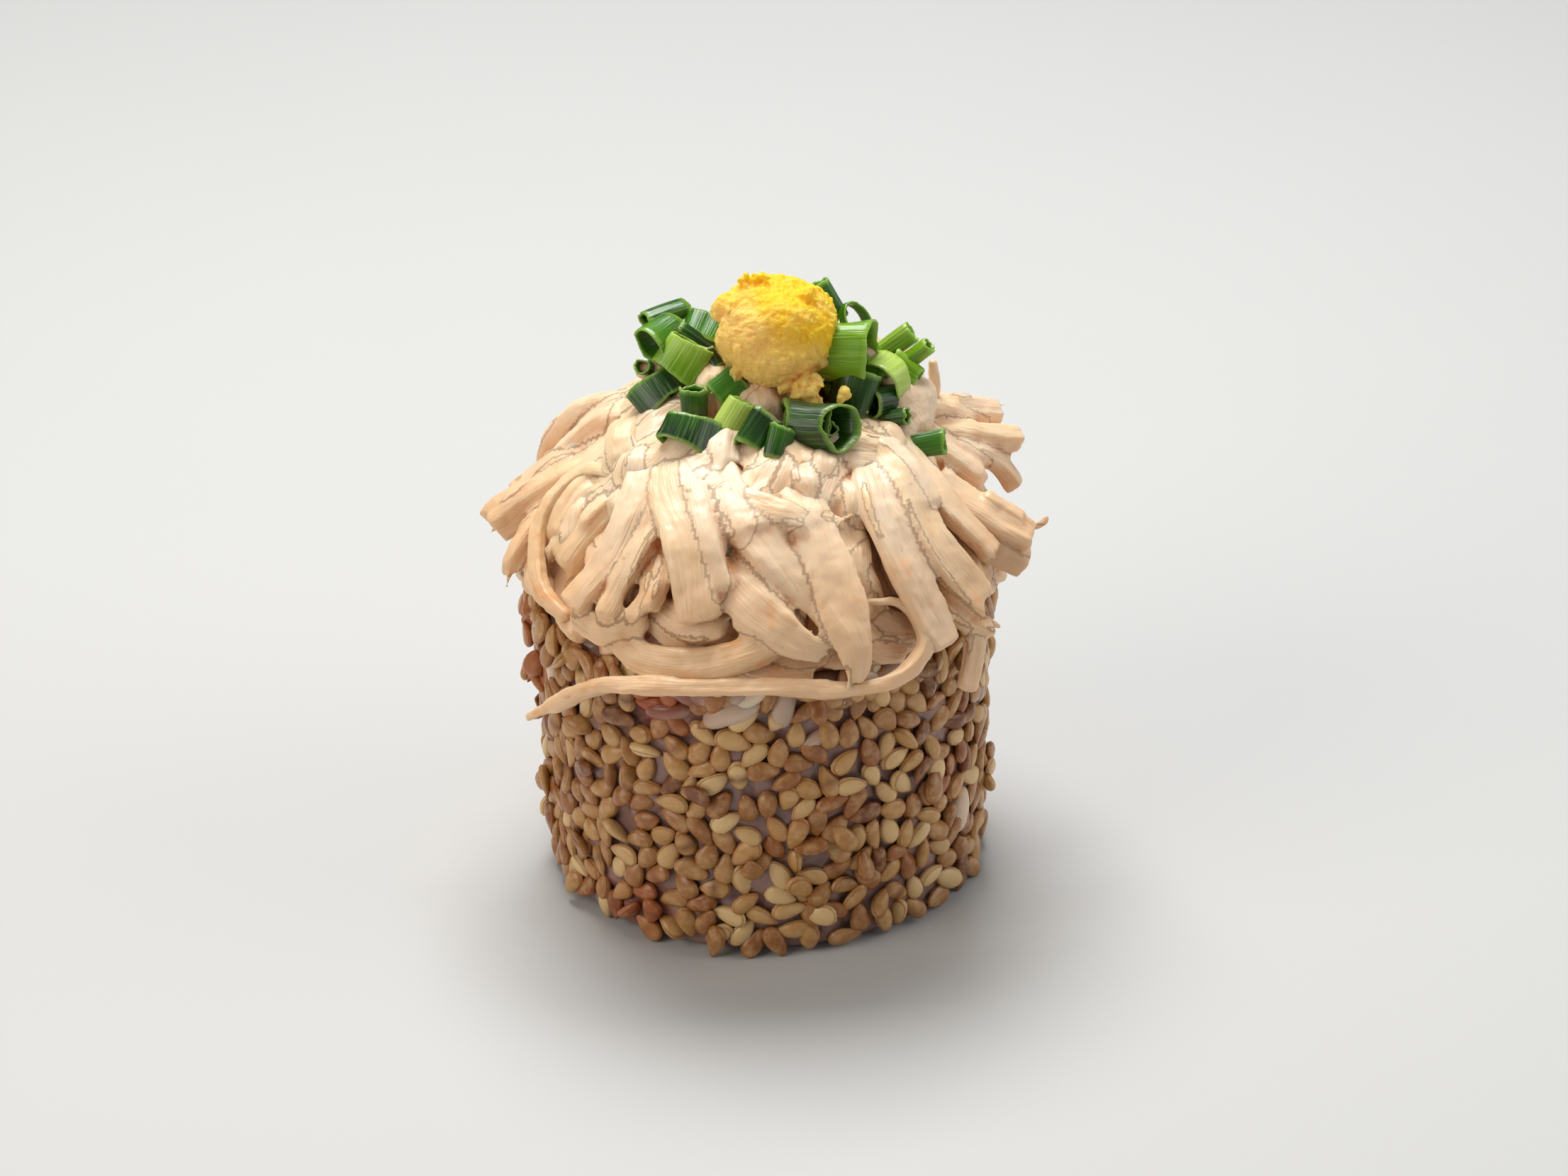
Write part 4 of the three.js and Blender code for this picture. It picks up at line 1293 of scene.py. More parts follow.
@dataclass
class ChickenHeap:
    """The heap: placed shreds in front, shreds by a rule behind, and an under-layer on a core."""

    core_depth: float = 1.7
    core_radius: float = 18.0
    cap_radius: float = 18.0
    cap_depth: float = 1.0
    cap_level: float = 10.0
    under_count: int = 76
    bit_count: int = 100
    rim_count: int = 40
    far_down: int = 22
    far_across: int = 15
    far_along: int = 6
    side_from: float = 69.5
    far_first: float = 98.0
    far_last: float = 256.0
    sauce_from: float = 33.0
    sauce_rise: float = 8.5
    sauce_radius: float = 14.0
    sauce_fade: float = 5.0
    step: float = 0.25
    sides: int = 20
    finish: PoachedChicken = PoachedChicken()

    def far_shreds(self, random: Random) -> list[Shred]:
        """Shreds of the far side: a few along its rim, some that lie across it, more that run down it.

        Args:
            random: The source of random numbers.

        Returns:
            The shreds.
        """
        made = []
        ends = list(End)
        for i in range(self.far_along + self.far_across + self.far_down):
            along, across = i < self.far_along, i < self.far_along + self.far_across
            azimuth = self.far_first + (self.far_last - self.far_first) * ((i + 0.5) * GOLDEN_SHARE % 1.0)
            end = ends[int(random.integers(0, len(ends)))]
            if along:
                span, radius = random.uniform(7, 15), random.uniform(19.6, 21.4)
                height = random.uniform(28.2, 31.0)
                tips = random.uniform(-1.6, 1.4, 2)
                way = [
                    (azimuth - span, radius - 1.4, height + tips[0]),
                    (azimuth, radius, height),
                    (azimuth + span, radius - 1.2, height + tips[1]),
                ]
                wide, thick = (1.6, 3.4), (1.4, 2.1)
            elif across:
                span, start = random.uniform(14, 30) * (1 if i % 2 else -1), random.uniform(11, 16)
                stop = min(start + random.uniform(1.0, 6.0), 20.0)
                lift, middle = random.uniform(0.3, 1.5), (start + stop) / 2 + random.uniform(-0.5, 1.0)
                way = [
                    (azimuth - span / 2, start, heap_height(start) + lift * 0.4),
                    (azimuth, middle, heap_height(middle) + lift),
                    (azimuth + span / 2, stop, heap_height(stop) + lift * 0.7),
                ]
                wide, thick = (1.5, 3.6), (1.1, 2.0)
            else:
                bow, start = random.uniform(-15, 15), random.uniform(8.5, 15)
                stop = random.uniform(17.0, 22.2)
                lift, middle = random.uniform(0.1, 1.7), (start + stop) / 2
                way = [
                    (azimuth - bow, start, heap_height(start)),
                    (azimuth + bow * 0.6, middle, heap_height(middle) + lift / 2 + random.uniform(-0.3, 0.7)),
                    (azimuth + random.uniform(-4, 4), stop, heap_height(stop) + lift),
                ]
                wide, thick = (1.7, 4.4), (1.3, 2.1)
            made.append(Shred(random.uniform(*wide), random.uniform(*thick), way, end))
        return made

    def under_shreds(self, random: Random) -> list[Shred]:
        """Short shreds that lie close on the core all round, and more along its foot.

        Args:
            random: The source of random numbers.

        Returns:
            The shreds.
        """
        made = []
        for i in range(self.under_count):
            azimuth = i * GOLDEN_ANGLE + random.uniform(-12, 12)
            start = random.uniform(4.0, 15.0)
            stop = min(start + random.uniform(4.0, 8.0), 19.8)
            swing = random.uniform(-30, 30)
            sink = random.uniform(-0.4, 0.5) + 0.6 * float(ease((stop - 15.0) / 4.0))
            middle = (start + stop) / 2
            way = [
                (azimuth, start, heap_height(start) - sink),
                (azimuth + swing * 0.55, middle, heap_height(middle) - sink + 0.4),
                (azimuth + swing, stop, heap_height(stop) - sink),
            ]
            made.append(Shred(random.uniform(1.8, 3.8), random.uniform(1.4, 2.2), way))
        for i in range(self.rim_count):
            azimuth = 360.0 * i / self.rim_count + random.uniform(-5, 5)
            span, tip = random.uniform(3, 15), random.uniform(-1, 1)
            height, radius = random.uniform(27.4, 30.6), random.uniform(18.2, 19.6)
            way = [
                (azimuth - span, radius - 0.6, height + 1.6 * tip),
                (azimuth, radius, height),
                (azimuth + span, radius - 0.3, height - 1.4 * tip),
            ]
            made.append(Shred(random.uniform(1.6, 3.0), random.uniform(1.3, 2.0), way, End.SQUARE))
        return made

    def carried(self, line: Array, wide: float, thick: float, end: End, start: End) -> Carried:
        """Works out a shred's directions and half sizes along its line.

        Its width lies level on the heap's dome. Its size is a share that eases from each end's own share
        to one, and the last of each end is rounded as a circle is.

        Args:
            line: The points of its line.
            wide: Its width.
            thick: Its thickness.
            end: How it ends.
            start: How it starts.

        Returns:
            The line with all of these.
        """
        along = unit(np.gradient(line, axis=0))
        across = unit(np.cross(along, heap_normal(line)))
        out = np.cross(across, along)
        length = np.concatenate([[0.0], np.cumsum(np.linalg.norm(np.diff(line, axis=0), axis=1))])
        left = length[-1] - length
        size = np.ones(len(line))
        for place, kind in ((length, start), (left, end)):
            share, run, rounding = kind.value
            reach = run * length[-1]
            rounding = min(rounding, 0.6 * thick)
            size = size * (share + (1.0 - share) * ease(place / reach))
            size = size * np.sqrt(np.clip(1.0 - np.clip(1.0 - place / rounding, 0.0, 1.0) ** 2, 0.0, 1.0))
        return Carried(line, along, across, out, size * wide / 2, size * thick / 2, length)

    def twisted(self, base: Carried, key: float) -> Carried:
        """Turns a shred's width slowly about its line by noise.

        Args:
            base: The shred's line.
            key: A different number gives a different turn.

        Returns:
            The same line with the turned directions.
        """
        place = np.stack([base.length / 6.0, np.full_like(base.length, key * 1.7), 0 * base.length], -1)
        angle = 0.3 * lattice_noise(place, 11)[:, None]
        across = base.across * np.cos(angle) + base.out * np.sin(angle)
        out = base.out * np.cos(angle) - base.across * np.sin(angle)
        return Carried(base.line, base.along, across, out, base.half_wide, base.half_thick, base.length)

    def strands(self, shred: Shred, base: Carried, random: Random) -> list[Carried]:
        """A shred's body, and the strands along which its meat tears.

        The strands lie side by side on the body, some a little raised. They wander, and start and end
        at different places, so that the shred has creases, steps and a torn end.

        Args:
            shred: The shred.
            base: Its line.
            random: The source of random numbers.

        Returns:
            The body's line and the strands' lines.
        """
        count = len(base.line)
        trim = int(0.5 / self.step) if shred.wide > 1.9 and shred.end is not End.SQUARE else 0
        body = slice(0, count - trim)
        made = [self.carried(base.line[body], shred.wide * 0.94, shred.thick * 0.9, shred.end, shred.start)]
        made[0].across, made[0].out = base.across[body], base.out[body]
        if shred.wide <= 1.9:
            return made
        strands = int(random.integers(1, 4))
        sides = np.linspace(-0.75, 0.75, strands + 2)[1:-1] + random.uniform(-0.2, 0.2, strands)
        for index, side in enumerate(sides):
            early = int(random.uniform(0.0, 0.45) * count)
            if random.random() < 0.5:
                late = int(random.uniform(0.0, 0.8) / self.step)
            else:
                late = int(random.uniform(0.1, 0.45) * count)
            part = slice(early, max(count - late, early + 8))
            length = base.length[part]
            level = np.ones_like(length)
            place = np.stack([length / 5.0, index * 5.1 * level, side * level], -1)
            offset_x = side * base.half_wide[part] + 0.3 * lattice_noise(place, 15)
            offset_y = random.uniform(0.0, 0.45) * base.half_thick[part] + 0.15 * lattice_noise(place, 16)
            line = base.line[part] + base.across[part] * offset_x[:, None]
            line = line + base.out[part] * offset_y[:, None]
            wide = shred.wide * random.uniform(0.3, 0.62)
            thick = shred.thick * random.uniform(0.5, 0.8)
            made.append(self.carried(line, wide, thick, shred.end, End.TIP))
        return made

    def fibres(self, layer: ChickenLayer, parents: list[Carried], random: Random) -> list[Carried]:
        """Thin fibres that lie along the shreds and stand out of their torn ends.

        Args:
            layer: How many fibres and splinters a shred has, at least and below.
            parents: The shreds' lines.
            random: The source of random numbers.

        Returns:
            The fibres' lines.
        """
        made = []
        for parent in parents:
            count = len(parent.line)
            for _ in range(int(random.integers(*layer.fibres))):
                first = int(random.uniform(0.05, 0.7) * count)
                last = min(first + int(random.uniform(0.25, 0.5) * count) + 4, count)
                if last - first < 6:
                    continue
                part = slice(first, last)
                side = random.uniform(-0.85, 0.85)
                drift = np.linspace(side, side + random.uniform(-0.35, 0.35), last - first)[:, None]
                raised = np.sqrt(np.clip(1.0 - drift**2, 0.1, 1.0))
                line = (
                    parent.line[part]
                    + parent.across[part] * drift * parent.half_wide[part, None]
                    + parent.out[part] * raised * parent.half_thick[part, None] * 0.92
                )
                wide, thick = random.uniform(0.4, 0.8), random.uniform(0.35, 0.5)
                made.append(self.carried(line, wide, thick, End.POINT, End.POINT))
            for _ in range(int(random.integers(*layer.splinters))):
                side = random.uniform(-0.85, 0.85)
                tail = parent.line[-9:] + parent.across[-9:] * side * parent.half_wide[-9, None]
                reach = random.uniform(0.3, 1.1)
                bend = parent.across[-1] * side * random.uniform(0.0, 0.9)
                bend = bend + parent.out[-1] * random.uniform(-0.5, 0.4)
                tip = tail[-1] + unit(parent.along[-1] + bend) * reach
                line = smooth_way(np.stack([tail[0], tail[5], tip]), 0.2)
                wide, thick = random.uniform(0.4, 0.8), random.uniform(0.4, 0.6)
                made.append(self.carried(line, wide, thick, End.POINT, End.ROUND))
        return made

    def skin(self, strand: Carried, key: int) -> Surface:
        """A strand's surface: a four-sided outline with soft corners carried along its line.

        The outline's radius towards an angle is a soft least of the distances to four flats, whose
        directions and distances change slowly along the strand by noise. It is multiplied by the half
        width one way and by the half thickness the other way.

        Args:
            strand: The strand's line.
            key: A different number gives different noise.

        Returns:
            The closed surface.
        """
        turn = -np.linspace(0.0, 2 * math.pi, self.sides, endpoint=False)
        number = np.arange(4)
        slow, apart = strand.length[:, None] / 4.5, number[None] * 3.3 + key * 1.9
        place = np.stack(np.broadcast_arrays(slow, apart, 0.0), -1)
        facing = number * math.pi / 2 + 0.3 * lattice_noise(place, 12)
        away = 0.86 + 0.16 * lattice_noise(place + 40.0, 13)
        cosine = np.clip(np.cos(turn[None, :, None] - facing[:, None, :]), 0.0, None)
        radius = (((cosine / away[:, None, :]) ** 18).sum(-1) + 1.2**-18) ** (-1 / 18)
        x = radius * np.cos(turn) * strand.half_wide[:, None]
        y = radius * np.sin(turn) * strand.half_thick[:, None]
        fibre = np.stack(np.broadcast_arrays(x / 0.5, y / 0.5, strand.length[:, None] / 4.0 + key * 3.1), -1)
        groove = 1.0 + 0.1 * lattice_noise(fibre, 14)
        grid = (
            strand.line[:, None]
            + strand.across[:, None] * (x * groove)[..., None]
            + strand.out[:, None] * (y * groove)[..., None]
        )
        grid[[0, -1]] = strand.line[[0, -1], None]
        return closed_grids(grid[None])

    def core(self) -> Surface:
        """The heap's core: the dome set in by its depth, closed level underneath, with lumps of noise.

        Returns:
            The closed surface.
        """
        low = ROLL_HEIGHT + 0.1
        radius = self.core_radius
        turned_in = [radius + 0.3, radius - 0.4, radius * 0.5, 0.0]
        out = np.concatenate([[0.0], np.linspace(0.2, 1.0, 12) * radius, turned_in])
        rise = heap_height(out) - self.core_depth
        rise[-4:] = [rise[-5] - 1.6, low, low, low]
        azimuth = np.linspace(0.0, 360.0, 96, endpoint=False)
        points = polar(azimuth[None, :], out[:, None], rise[:, None])
        lump = 0.55 * fractal_noise(points / 3.0, 2, 21) * ease((rise - low) / 2.0)[:, None]
        points = points + heap_normal(points) * lump[..., None]
        points[[0, -1]] = points[[0, -1], :1]
        return closed_grids(points[None, ::-1])

    def cap(self) -> Surface:
        """The sauced meat at the top, from which the shreds come: the dome with lumps, thinning outward.

        Returns:
            The closed surface.
        """
        out = np.concatenate([[0.0], np.linspace(0.5, self.cap_radius, 30), [self.cap_radius * 0.7, 0.0]])
        depth = self.cap_depth + 2.6 * ease((out - self.cap_level) / (self.cap_radius - self.cap_level))
        depth[-2:] = 6.0
        azimuth = np.linspace(0.0, 360.0, 120, endpoint=False)
        points = polar(azimuth[None, :], out[:, None], (heap_height(out) - depth)[:, None])
        lump = 0.75 * fractal_noise(points / 2.6, 3, 23)
        lump[-2:] = 0.0
        points = points + heap_normal(points) * lump[..., None]
        points[[0, -1]] = points[[0, -1], :1]
        return closed_grids(points[None, ::-1])

    def bits(self, random: Random) -> list[Shred]:
        """Short torn bits all over the heap that fill the gaps between shreds.

        Args:
            random: The source of random numbers.

        Returns:
            The bits.
        """
        made = []
        for i in range(self.bit_count):
            azimuth = i * GOLDEN_ANGLE % 360.0 - 180.0
            radius = random.uniform(10.0, 18.5)
            swing, run = random.uniform(-9, 9), random.uniform(1.6, 3.4)
            sink = random.uniform(-1.0, 0.4)
            way = [
                (azimuth, radius, heap_height(radius) - sink - 0.3),
                (azimuth + swing / 2, radius + run / 2, heap_height(radius + run / 2) - sink + 0.3),
                (azimuth + swing, radius + run, heap_height(radius + run) - sink),
            ]
            end = list(End)[int(random.integers(0, 3))]
            made.append(Shred(random.uniform(1.3, 2.9), random.uniform(1.0, 1.7), way, end))
        return made

    def lumps(self) -> Surface:
        """The sauced lumps: balls pushed in and out by noise.

        Returns:
            The closed surfaces.
        """
        ball = ball_directions(24, 36)
        lumps = np.array(SAUCE_LUMPS)
        middle = lumps[:, None, None, :3]
        rough = 1.0 + 0.22 * fractal_noise(ball[None] * 1.5 + middle, 2, 22)
        return closed_grids(middle + ball[None] * (lumps[:, 3][:, None, None] * rough)[..., None])

    def marked(self, skin: Surface, shreds: list[Carried], random: Random) -> None:
        """Marks each point of the skin with the shred that it belongs to.

        A point belongs to the shred whose line is nearest, less that shred's own half size. The grain
        mark is the distance along that shred, across it and out of it. The deep mark, a painted shade,
        grows below the heap's dome, and the low mark, a painted shade too, towards its foot.

        Args:
            skin: The skin, which gets the marks.
            shreds: The lines of its shreds and fibres.
            random: The source of random numbers.
        """
        middle = np.concatenate([s.line for s in shreds]).astype(np.float32)
        size = np.concatenate([0.45 * s.half_wide + 0.55 * s.half_thick + 0.15 for s in shreds])
        size = size.astype(np.float32)
        points = skin.points.astype(np.float32)
        nearest = np.empty(len(points), np.int64)
        square = (middle**2).sum(1)
        for first in range(0, len(points), 3000):
            some = points[first : first + 3000]
            away = square[None] - 2.0 * some @ middle.T + (some**2).sum(1)[:, None]
            nearest[first : first + 3000] = np.argmin(np.sqrt(np.maximum(away, 0.0)) - size[None], 1)
        owner = np.concatenate([np.full(len(s.line), i) for i, s in enumerate(shreds)])[nearest]
        offset = skin.points - middle[nearest]
        held = zip(*((s.length, s.along, s.across, s.out) for s in shreds))
        length, *frames = (np.concatenate(values)[nearest] for values in held)
        grain = np.stack([(offset * axis).sum(1) for axis in frames], -1)
        grain[:, 0] = grain[:, 0] + length + owner * 9.3
        grain[:, 1] += owner * 4.1
        skin.marks["grain"] = grain
        tone = random.uniform(0.0, 1.0, len(shreds)) ** 1.5
        skin.marks["tone"] = skin.relaxed(tone[owner], 3)
        radius = np.hypot(skin.points[:, 0], skin.points[:, 1])
        # painted shade: deeper below the dome, and darker towards the foot
        below = heap_height(radius) - skin.points[:, 2] - 0.8 * np.clip(radius - 17.0, 0.0, 4.0)
        skin.marks["deep"] = ease((below - 0.7) / 2.2)
        # painted shade: darker towards the foot of the heap
        skin.marks["low"] = 0.5 * ease((39.5 - skin.points[:, 2]) / 7.0)

    def sauce(self, points: Array, reach: tuple[float, float]) -> Array:
        """How far the skin is moved out, joined and moved back in, so that sauce fills the narrow gaps.

        It grows with the height, and fades towards the heap's rim.

        Args:
            points: The skin's points.
            reach: The distance low down and the distance at the top.

        Returns:
            A column of distances.
        """
        radius = np.hypot(points[:, :1], points[:, 1:2])
        share = ease((points[:, 2:] - self.sauce_from) / self.sauce_rise)
        share = share * (1.0 - 0.9 * ease((radius - self.sauce_radius) / self.sauce_fade))
        return reach[0] + (reach[1] - reach[0]) * share

    def layer(self, layer: ChickenLayer, random: Random) -> bpy.types.Object:
        """Builds and dresses one layer under a skin of its own.

        The shreds' surfaces are moved out by the sauce, joined under one skin and moved back in. The
        skin is smoothed where sauce lies thick, then gets fibres and lumps of noise. A crease is where
        it lies below a smoother copy of itself, and it gets a painted shade, with some sauce there.

        Args:
            layer: The layer.
            random: The source of random numbers.

        Returns:
            The piece.
        """
        bases = []
        strands = []
        for number, shred in enumerate(layer.shreds):
            line = smooth_way(polar(*np.array(shred.way, float).T), self.step)
            base = self.carried(line, shred.wide, shred.thick, shred.end, shred.start)
            base = self.twisted(base, number)
            bases.append(base)
            strands += self.strands(shred, base, random)
        fibres = self.fibres(layer, bases, random)
        parts = layer.bodies + [self.skin(s, i) for i, s in enumerate(strands + fibres)]
        whole = join(parts)
        whole.points = whole.points + whole.normals() * self.sauce(whole.points, layer.sauce)
        skin = voxel_skin(whole, layer.voxel)
        skin.points = skin.relaxed(skin.points, 1, 0.5)
        skin.points = skin.points - skin.relaxed(skin.normals(), 2) * self.sauce(skin.points, layer.sauce)
        sauced = 0.15 + 0.75 * ease((skin.points[:, 2:] - 37.0) / 5.0)
        skin.points = skin.points + sauced * (skin.relaxed(skin.points, 15, 0.5) - skin.points)
        self.marked(skin, bases + fibres, random)
        fibre = lattice_noise(skin.marks["grain"] * np.array([0.22, 1.7, 1.7]), 41)
        lumps = 0.13 * lattice_noise(skin.points / 2.1, 42) + 0.06 * fractal_noise(skin.points / 0.8, 2, 43)
        skin.points = skin.points + skin.normals() * (0.08 * fibre + lumps)[:, None]
        # painted shade: creases, where the skin lies below a smoother copy of itself
        smooth = skin.relaxed(skin.points, 24, 0.6)
        depth = ((skin.points - smooth) * skin.normals()).sum(1)
        skin.marks["crease"] = ease((-depth - 0.02) / 0.36)
        piece = build_mesh(skin, layer.name)
        piece.data.materials.append(self.finish.material())
        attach(piece, "root")
        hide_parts("shredded_chicken")
        return piece

    def build(self, random: Random) -> list[bpy.types.Object]:
        """Builds the heap's layers. Together they stand for the heap's solid.

        Args:
            random: The source of random numbers.

        Returns:
            The pieces.
        """
        under = UNDER_SHREDS + self.under_shreds(random) + self.bits(random)
        front = [s for s in SHREDS if abs(s.way[1][0]) < self.side_from]
        back = [s for s in SHREDS if abs(s.way[1][0]) >= self.side_from] + self.far_shreds(random)
        top = [self.cap(), self.lumps()]
        layers = [
            ChickenLayer("chicken_under_layer", under, 0.27, (0, 2), (0, 2), (0.12, 0.45), [self.core()]),
            ChickenLayer("chicken_front_shreds", front, 0.27, (0, 3), (0, 2), (0.06, 0.8), top),
            ChickenLayer("chicken_loose_strands", LOOSE_SHREDS, 0.14, (0, 1), (0, 1), (0.0, 0.0)),
            ChickenLayer("chicken_back_shreds", back, 0.23, (0, 3), (0, 2), (0.1, 0.5)),
        ]
        return [self.layer(layer, random) for layer in layers]


# ---- Scallion ----


@dataclass
class Ring:
    """One cut ring of scallion leaf.

    heading is the way its axis points in the picture, in degrees from the right round to up, and lean
    is how far that end comes towards the viewer. With no roll a flattened ring has its wide face
    towards the viewer. tone goes from 0, dark green, to 1, pale, and ribbed is how much its ribs show,
    in relief and in pale streaks that are partly waxy bloom and partly a painted sheen.
    """

    at: Place
    heading: float
    lean: float
    radius: float
    length: float
    flat: float
    tone: float
    ribbed: float = 0.4
    roll: float = 0.0
    slant: float = 0.0


RINGS = [
    Ring((-7.4, 4.5, 48.2), 200, 26, 1.2, 3.6, 0.75, 0.24, 0.2, 60),
    Ring((-7.7, 1.5, 47.6), 216, 42, 1.5, 3.3, 0.85, 0.4, 0.3, 20),
    Ring((-5.9, -0.7, 46.7), 236, -4, 2.05, 3.1, 0.4, 0.76, 2.2),
    Ring((-9.0, 0.3, 45.5), 165, 68, 0.85, 1.5, 0.75, 0.42, 0.2, 90),
    Ring((-4.2, 3.0, 47.4), 246, 32, 1.75, 2.7, 0.72, 0.36, 0.7),
    Ring((-8.4, -1.4, 43.7), 305, 20, 2.15, 2.5, 0.42, 0.12, 1.0, 10),
    Ring((-2.2, -2.7, 44.8), 38, -6, 1.6, 2.3, 0.5, 0.4, 0.7),
    Ring((-5.0, -4.0, 44.2), 90, 28, 1.2, 2.5, 0.8, 0.2, 0.3),
    Ring((-5.4, -7.2, 43.0), 249, 20, 2.5, 2.7, 0.5, 0.1, 1.0),
    Ring((-1.8, -6.0, 43.9), 238, 2, 1.25, 2.8, 0.5, 0.95, 0.5),
    Ring((0.1, -7.7, 43.3), 236, 14, 1.4, 3.3, 0.6, 0.1, 0.2),
    Ring((1.8, -8.7, 42.7), 252, 6, 1.1, 2.7, 0.65, 0.2, 0.3),
    Ring((4.4, -7.2, 43.4), -6, 24, 2.0, 5.3, 0.85, 0.11, 0.6, 0, -0.6),
    Ring((4.2, -7.0, 43.2), -4, 24, 1.65, 3.8, 0.3, 0.0, 0.1),
    Ring((7.5, 0.0, 46.5), -4, 13, 2.35, 4.2, 0.95, 0.7, 0.3),
    Ring((11.7, 3.0, 45.9), 34, 4, 0.95, 3.1, 0.85, 0.78, 0.3),
    Ring((13.3, 1.8, 45.4), 36, 16, 0.72, 2.6, 0.9, 0.66, 0.3),
    Ring((12.1, 1.0, 44.2), -38, 4, 1.35, 2.9, 0.5, 0.72, 0.9),
    Ring((10.6, 0.0, 44.0), 214, 42, 2.1, 1.8, 0.9, 0.93, 0.3),
    Ring((8.0, -2.0, 44.0), 72, 14, 2.1, 3.6, 0.7, 0.12, 0.3),
    Ring((10.4, -1.4, 42.8), 192, 44, 1.2, 2.9, 0.85, 0.12, 0.4),
    Ring((11.4, -2.6, 41.8), 4, 18, 0.7, 2.0, 0.85, 0.16, 0.3),
    Ring((6.0, 5.7, 48.5), 118, 6, 1.3, 3.4, 0.6, 0.25, 0.4),
    Ring((8.4, 4.3, 47.2), 20, 62, 1.75, 1.3, 0.6, 0.35, 0.3),
    Ring((-0.8, -1.2, 45.3), 325, 2, 1.0, 3.2, 0.4, 0.03, 0.3),
    Ring((-3.5, -0.5, 46.5), 300, 10, 0.7, 1.6, 0.6, 0.02, 0.2),
    Ring((-5.0, 1.3, 47.0), 322, 0, 1.2, 3.4, 0.5, 0.08, 0.4),
    Ring((-7.6, 0.6, 44.9), 300, 8, 1.2, 2.8, 0.5, 0.08, 0.4),
    Ring((5.4, -7.5, 43.1), 30, 40, 1.2, 1.3, 0.5, 0.0, 0.1, 60),
]
STRAY = Ring((14.0, -3.7, 39.8), 8, 10, 1.05, 2.8, 0.45, 0.3, 0.4)


